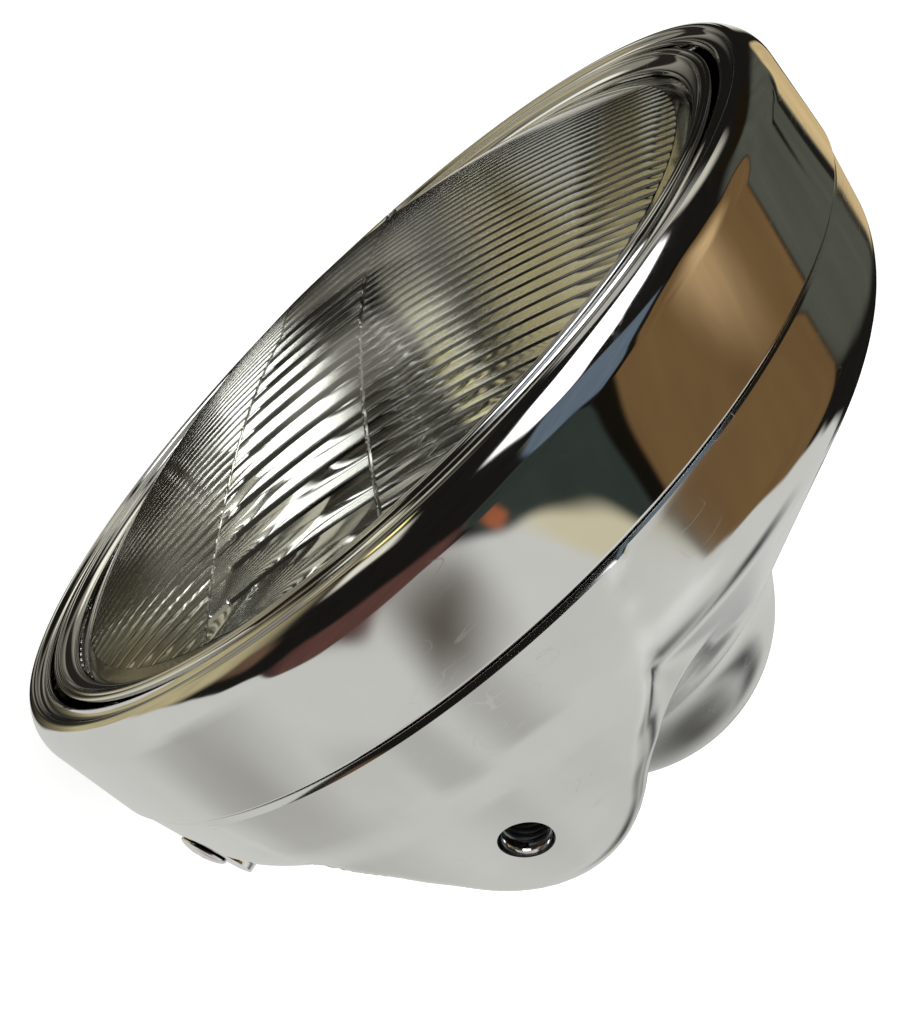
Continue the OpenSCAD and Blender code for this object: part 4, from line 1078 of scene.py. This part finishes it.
def buildBucket(material, dull):
    size, hole, inlet = bucket, boltHole, wireInlet
    shell = buildCasting(material)
    carve(shell, screwLands(), "UNION")
    # Bosses in the lugs, studs behind the rim screws and the pad of the wire inlet
    face, deep, at = size["lugFace"], size["lugFace"] - hole["depth"], inletPlace()
    boss = deep - hole["bossSunk"]
    extras = [rod(hole["bossRadius"], boss, hole["bossEnd"], place, 64) for place in sideways]
    extras += [rod(*landSize["stud"], place) for place in screwPlaces()]
    pad, sunk, proud, bevel = inlet["pad"], -inlet["sunk"], inlet["proud"], inlet["bevel"]
    pad = [(0, sunk), (pad, sunk), (pad, proud - bevel), (pad - bevel, proud), (0, proud)]
    extras.append(spun(pad, at, 96))
    carve(shell, joined(extras), "UNION")
    # Tapped holes with their mouths, screw holes with their countersinks, and the wire inlet
    drill, root, mouth = hole["drill"], hole["root"], hole["mouth"]
    bolt = [(0, deep - 1.8), (drill, deep), (drill, deep + 1), (root, deep + 1.6), (root, face - 1.9)]
    bolt += [(mouth - 0.1, face - 1.3), (mouth, face - 0.05), (mouth, face + 5), (0, face + 5)]
    cuts = [spun(bolt, place, 96) for place in sideways]
    cuts += [spun(sinkOutline, place, 64) for place in screwPlaces()]
    cuts.append(rod(inlet["hole"], *inlet["holeSpan"], at, 96))
    carve(shell, joined(cuts))
    pocket = turnedPiece("pocket", pocketOutline, None, 180)
    carve(pocket, boxShape(*pocketBox), "INTERSECT")
    carve(shell, pocket)
    smoothEdges(shell.data, size["crease"])
    # The walls of the tapped holes are dull
    shell.data.materials.clear()
    for finish in (material, dull):
        shell.data.materials.append(finish)
    for patch in shell.data.polygons:
        middle = patch.center / mm
        if math.hypot(middle.y, middle.z) < hole["dullReach"] * root and abs(middle.x) > boss:
            patch.material_index = 1
    return shell


def buildThreads(material):
    hole = boltHole
    length = hole["depth"] - hole["ridgeShort"]
    values = {
        "Root Radius": hole["root"] * mm, "Ridge": hole["ridge"] * mm, "Turns": length / hole["pitch"],
        "Length": length * mm, "From Centre": (bucket["lugFace"] - hole["depth"] + hole["ridgeStart"]) * mm,
        "Material": material}
    return grownPiece("lugThreads", threadTree(), bpy.data.meshes.new("lugThreads"), values, sharpCrease)


rimScrew = {
    "shank": 2.45,
    "length": 11.0,
    "head": 4.7,
    "sink": 2.2,
    "dome": 1.3,
    "domeSteps": 12,
    "crossLong": 2.5,
    "crossHalf": 0.5,
    "crossDeep": 1.7,
    "crossTaper": (0.45, 0.6),
}


def buildRimScrews(material):
    size = rimScrew
    outline = [(0, -size["length"]), (size["shank"], -size["length"]), (size["shank"], -size["sink"])]
    outline += [(size["head"] - 0.15, -0.15)]
    for i in range(size["domeSteps"] + 1):
        turn = math.radians(90 * i / size["domeSteps"])
        outline.append((size["head"] * math.cos(turn), size["dome"] * math.sin(turn)))
    screw = meshPiece("rimScrew", *spun(outline, Matrix(), 64))
    # Cross recess, narrower at its bottom
    top, deep = size["dome"] + 0.5, size["dome"] - size["crossDeep"]
    reach, half, (shorter, thinner) = size["crossLong"], size["crossHalf"], size["crossTaper"]
    faces = [(0, 1, 2, 3), (7, 6, 5, 4), (0, 4, 5, 1), (1, 5, 6, 2), (2, 6, 7, 3), (3, 7, 4, 0)]
    for quarter in (0, 1):
        points = []
        for height, long, wide in ((top, reach, half), (deep, shorter * reach, thinner * half)):
            for x, y in ((-long, -wide), (long, -wide), (long, wide), (-long, wide)):
                points.append((y, x, height) if quarter else (x, y, height))
        carve(screw, (points, faces))
    places = placesMesh("screwPlaces", screwFrames())
    screws = grownPiece("rimScrews", copiesTree(), places, {"Copy": screw, "Material": material})
    bpy.data.objects.remove(screw)
    return screws


def screwFrames():
    # Frames of both rim screws, each a turn with no mirror in it
    frames = []
    for place in screwPlaces():
        out = (place.to_3x3() @ Vector((0, 0, 1))).normalized()
        turn = out.to_track_quat("Z", "Y").to_matrix().to_4x4()
        frames.append(Matrix.Translation(place.translation) @ turn)
    return frames


# Glass: a smooth dome in front, and upright flutes pressed into its inner face

flutes = {
    "pitch": 2.95,
    "edge": 76.5,
    "endMargin": 1.2,
    "gap": 0.25,
    "depth": 0.33,
    "upper": 15.5,
    "lower": 8.0,
    "lowerSlope": 0.19,
    "barHalf": 0.2,
    "barBevel": 0.22,
    "stepsAcross": 8,
    "endSteps": 10,
    "rows": 12,
    "domeSteps": 26,
}


def fluteColumns():
    # Places across the glass: even steps, and steps along the round edge near both ends
    edge, ends = flutes["edge"], flutes["endSteps"]
    step = flutes["pitch"] / flutes["stepsAcross"]
    count = int((edge - flutes["endMargin"]) / step)
    inner = [step * k for k in range(-count, count + 1)]
    turn = math.acos(inner[-1] / edge)
    outer = [edge * math.cos(turn * (1 - k / ends)) for k in range(1, ends + 1)]
    return [-x for x in reversed(outer)] + inner + outer


def fluteRows(x):
    # Rows of one column from the lower edge to the upper: height, pitch of the flutes there, and relief
    size = flutes
    half = math.sqrt(max(0.0, size["edge"] ** 2 - x * x))
    narrow, wide, bar = size["pitch"], 2 * size["pitch"], size["barHalf"]
    slope = bar + size["barBevel"]
    low, high = -size["lower"] - size["lowerSlope"] * abs(x), size["upper"]
    rows = []
    zones = ((-half, low - slope, narrow, low), (low + slope, high - slope, wide, high),
             (high + slope, half, narrow, None))
    for start, end, pitch, middle in zones:
        rows += [(start + (end - start) * k / size["rows"], pitch, 1.0) for k in range(size["rows"] + 1)]
        if middle is not None:
            rows += [(middle - bar, pitch, 0.0), (middle + bar, pitch, 0.0)]
    return [row if abs(row[0]) < half else (math.copysign(half, row[0]), narrow, 1.0) for row in rows]


def buildGlass(material):
    size = flutes
    edge, steps, narrow = size["edge"], size["domeSteps"], size["pitch"] * mm

    def innerAhead(r):
        return domeAhead(r, lamp["glassBall"] - lamp["glassWall"], glassApex - lamp["glassWall"])

    # Each point has its place, the pitch of the flutes there and its relief
    columns = fluteColumns()
    points, faces = [], []
    for x in columns:
        rows = fluteRows(x)
        for z, pitch, relief in rows:
            points.append(((x, -innerAhead(min(math.hypot(x, z), edge)), z), pitch * mm, relief))
    count, across = len(rows), len(columns)
    for i in range(across - 1):
        for a in range(i * count, i * count + count - 1):
            faces.append((a, a + 1, a + count + 1, a + count))
    # Round the fluted field: its wall, the plain margin, the flange and the smooth dome
    border = [i * count for i in range(across)] + [i * count + count - 1 for i in range(across - 2, 0, -1)]
    outline = [(edge, innerAhead(edge)), (glassBore, innerAhead(glassBore)), (glassBore, glassFlangeBack)]
    outline += [(glassFlangeRadius, glassFlangeBack), (glassFlangeRadius, glassFlangeFront)]
    outline += [(glassEdge, glassFlangeFront)]
    for k in range(steps):
        r = glassEdge * (1 - k / steps)
        outline.append((r, domeAhead(r)))
    start, ring = len(points), len(border)
    turns = [math.atan2(points[k][0][2], points[k][0][0]) for k in border]
    for r, ahead in outline:
        points += [((r * math.cos(turn), -ahead, r * math.sin(turn)), narrow, 0.0) for turn in turns]
    end = start + (len(outline) - 1) * ring
    points.append(((0, -glassApex, 0), narrow, 0.0))
    for k in range(ring):
        j = (k + 1) % ring
        faces.append((border[k], border[j], start + j, start + k))
        for row in range(start, end, ring):
            faces.append((row + k, row + j, row + j + ring, row + k + ring))
        faces.append((end + k, end + j, len(points) - 1))
    mesh = newMesh("frontGlass", [point[0] for point in points], faces)
    for i, name in ((1, "pitch"), (2, "relief")):
        mesh.attributes.new(name, "FLOAT", "POINT").data.foreach_set("value", [point[i] for point in points])
    values = {"Gap": size["gap"] * mm, "Depth": size["depth"] * mm, "Material": material}
    glass = grownPiece("frontGlass", flutesTree(), mesh, values)
    closeMesh(glass.data, sharpCrease)
    return glass


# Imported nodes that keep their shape, and the finish that each gets

nodeFinishes = {
    "zincPlate": ("rim_tab_left", "rim_tab_right", "rim_tab_nuts", "pivot_bracket_top",
                  "pivot_bracket_bottom", "pivot_studs", "adjuster_bracket", "adjuster_screw",
                  "clip_screws", "bulb_collar", "bulb_flange"),
    "springSteel": ("adjuster_clip", "adjuster_spring", "unit_clips", "bulb_shield", "bulb_spring"),
    "naturalNylon": ("adjuster_nut", "pivot_bushes"),
    "blackRubber": ("wire_grommet", "lens_gasket", "lens_seal", "bulb_boot"),
    "filamentWire": ("bulb_filaments",),
    "blackPlastic": ("bulb_base",),
    "brassBlade": ("bulb_terminals",),
    "bulbEnvelope": ("bulb_glass",),
}


def finishNodes(materials):
    for finish, names in nodeFinishes.items():
        for name in names:
            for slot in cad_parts[name].material_slots:
                slot.material = materials[finish]


def settle(piece, body, slot, *nodes):
    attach(piece, body)
    if nodes:
        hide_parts(*nodes)
    print(piece.name, len(piece.data.polygons), "faces")


addCamera()
addStage()
addWorld()
print("stage ready")
worn = wornSurfaceGroup()
materials = {name: wornMaterial(name, worn) for name in finishes}
materials.update({name: glassMaterial(name, worn) for name in glasses})
finishNodes(materials)
print("finishes ready")
chrome, casting, steel = materials["chrome"], materials["castChrome"], materials["springSteel"]
settle(buildOuterRim(chrome), "lamp_body", "chrome_plate", "outer_rim")
settle(buildRimScrews(chrome), "lamp_body", "chrome_plate", "rim_screws")
settle(buildBucket(casting, steel), "lamp_body", "polished_casting", "bucket")
settle(buildThreads(steel), "lamp_body", "polished_casting")
settle(buildUnitRing(chrome), "beam_unit", "chrome_plate", "unit_ring")
settle(buildReflector(materials["silvering"]), "beam_unit", "silvered", "reflector")
settle(buildGlass(materials["clearGlass"]), "beam_unit", "clear_glass", "lens")
print("pieces ready")
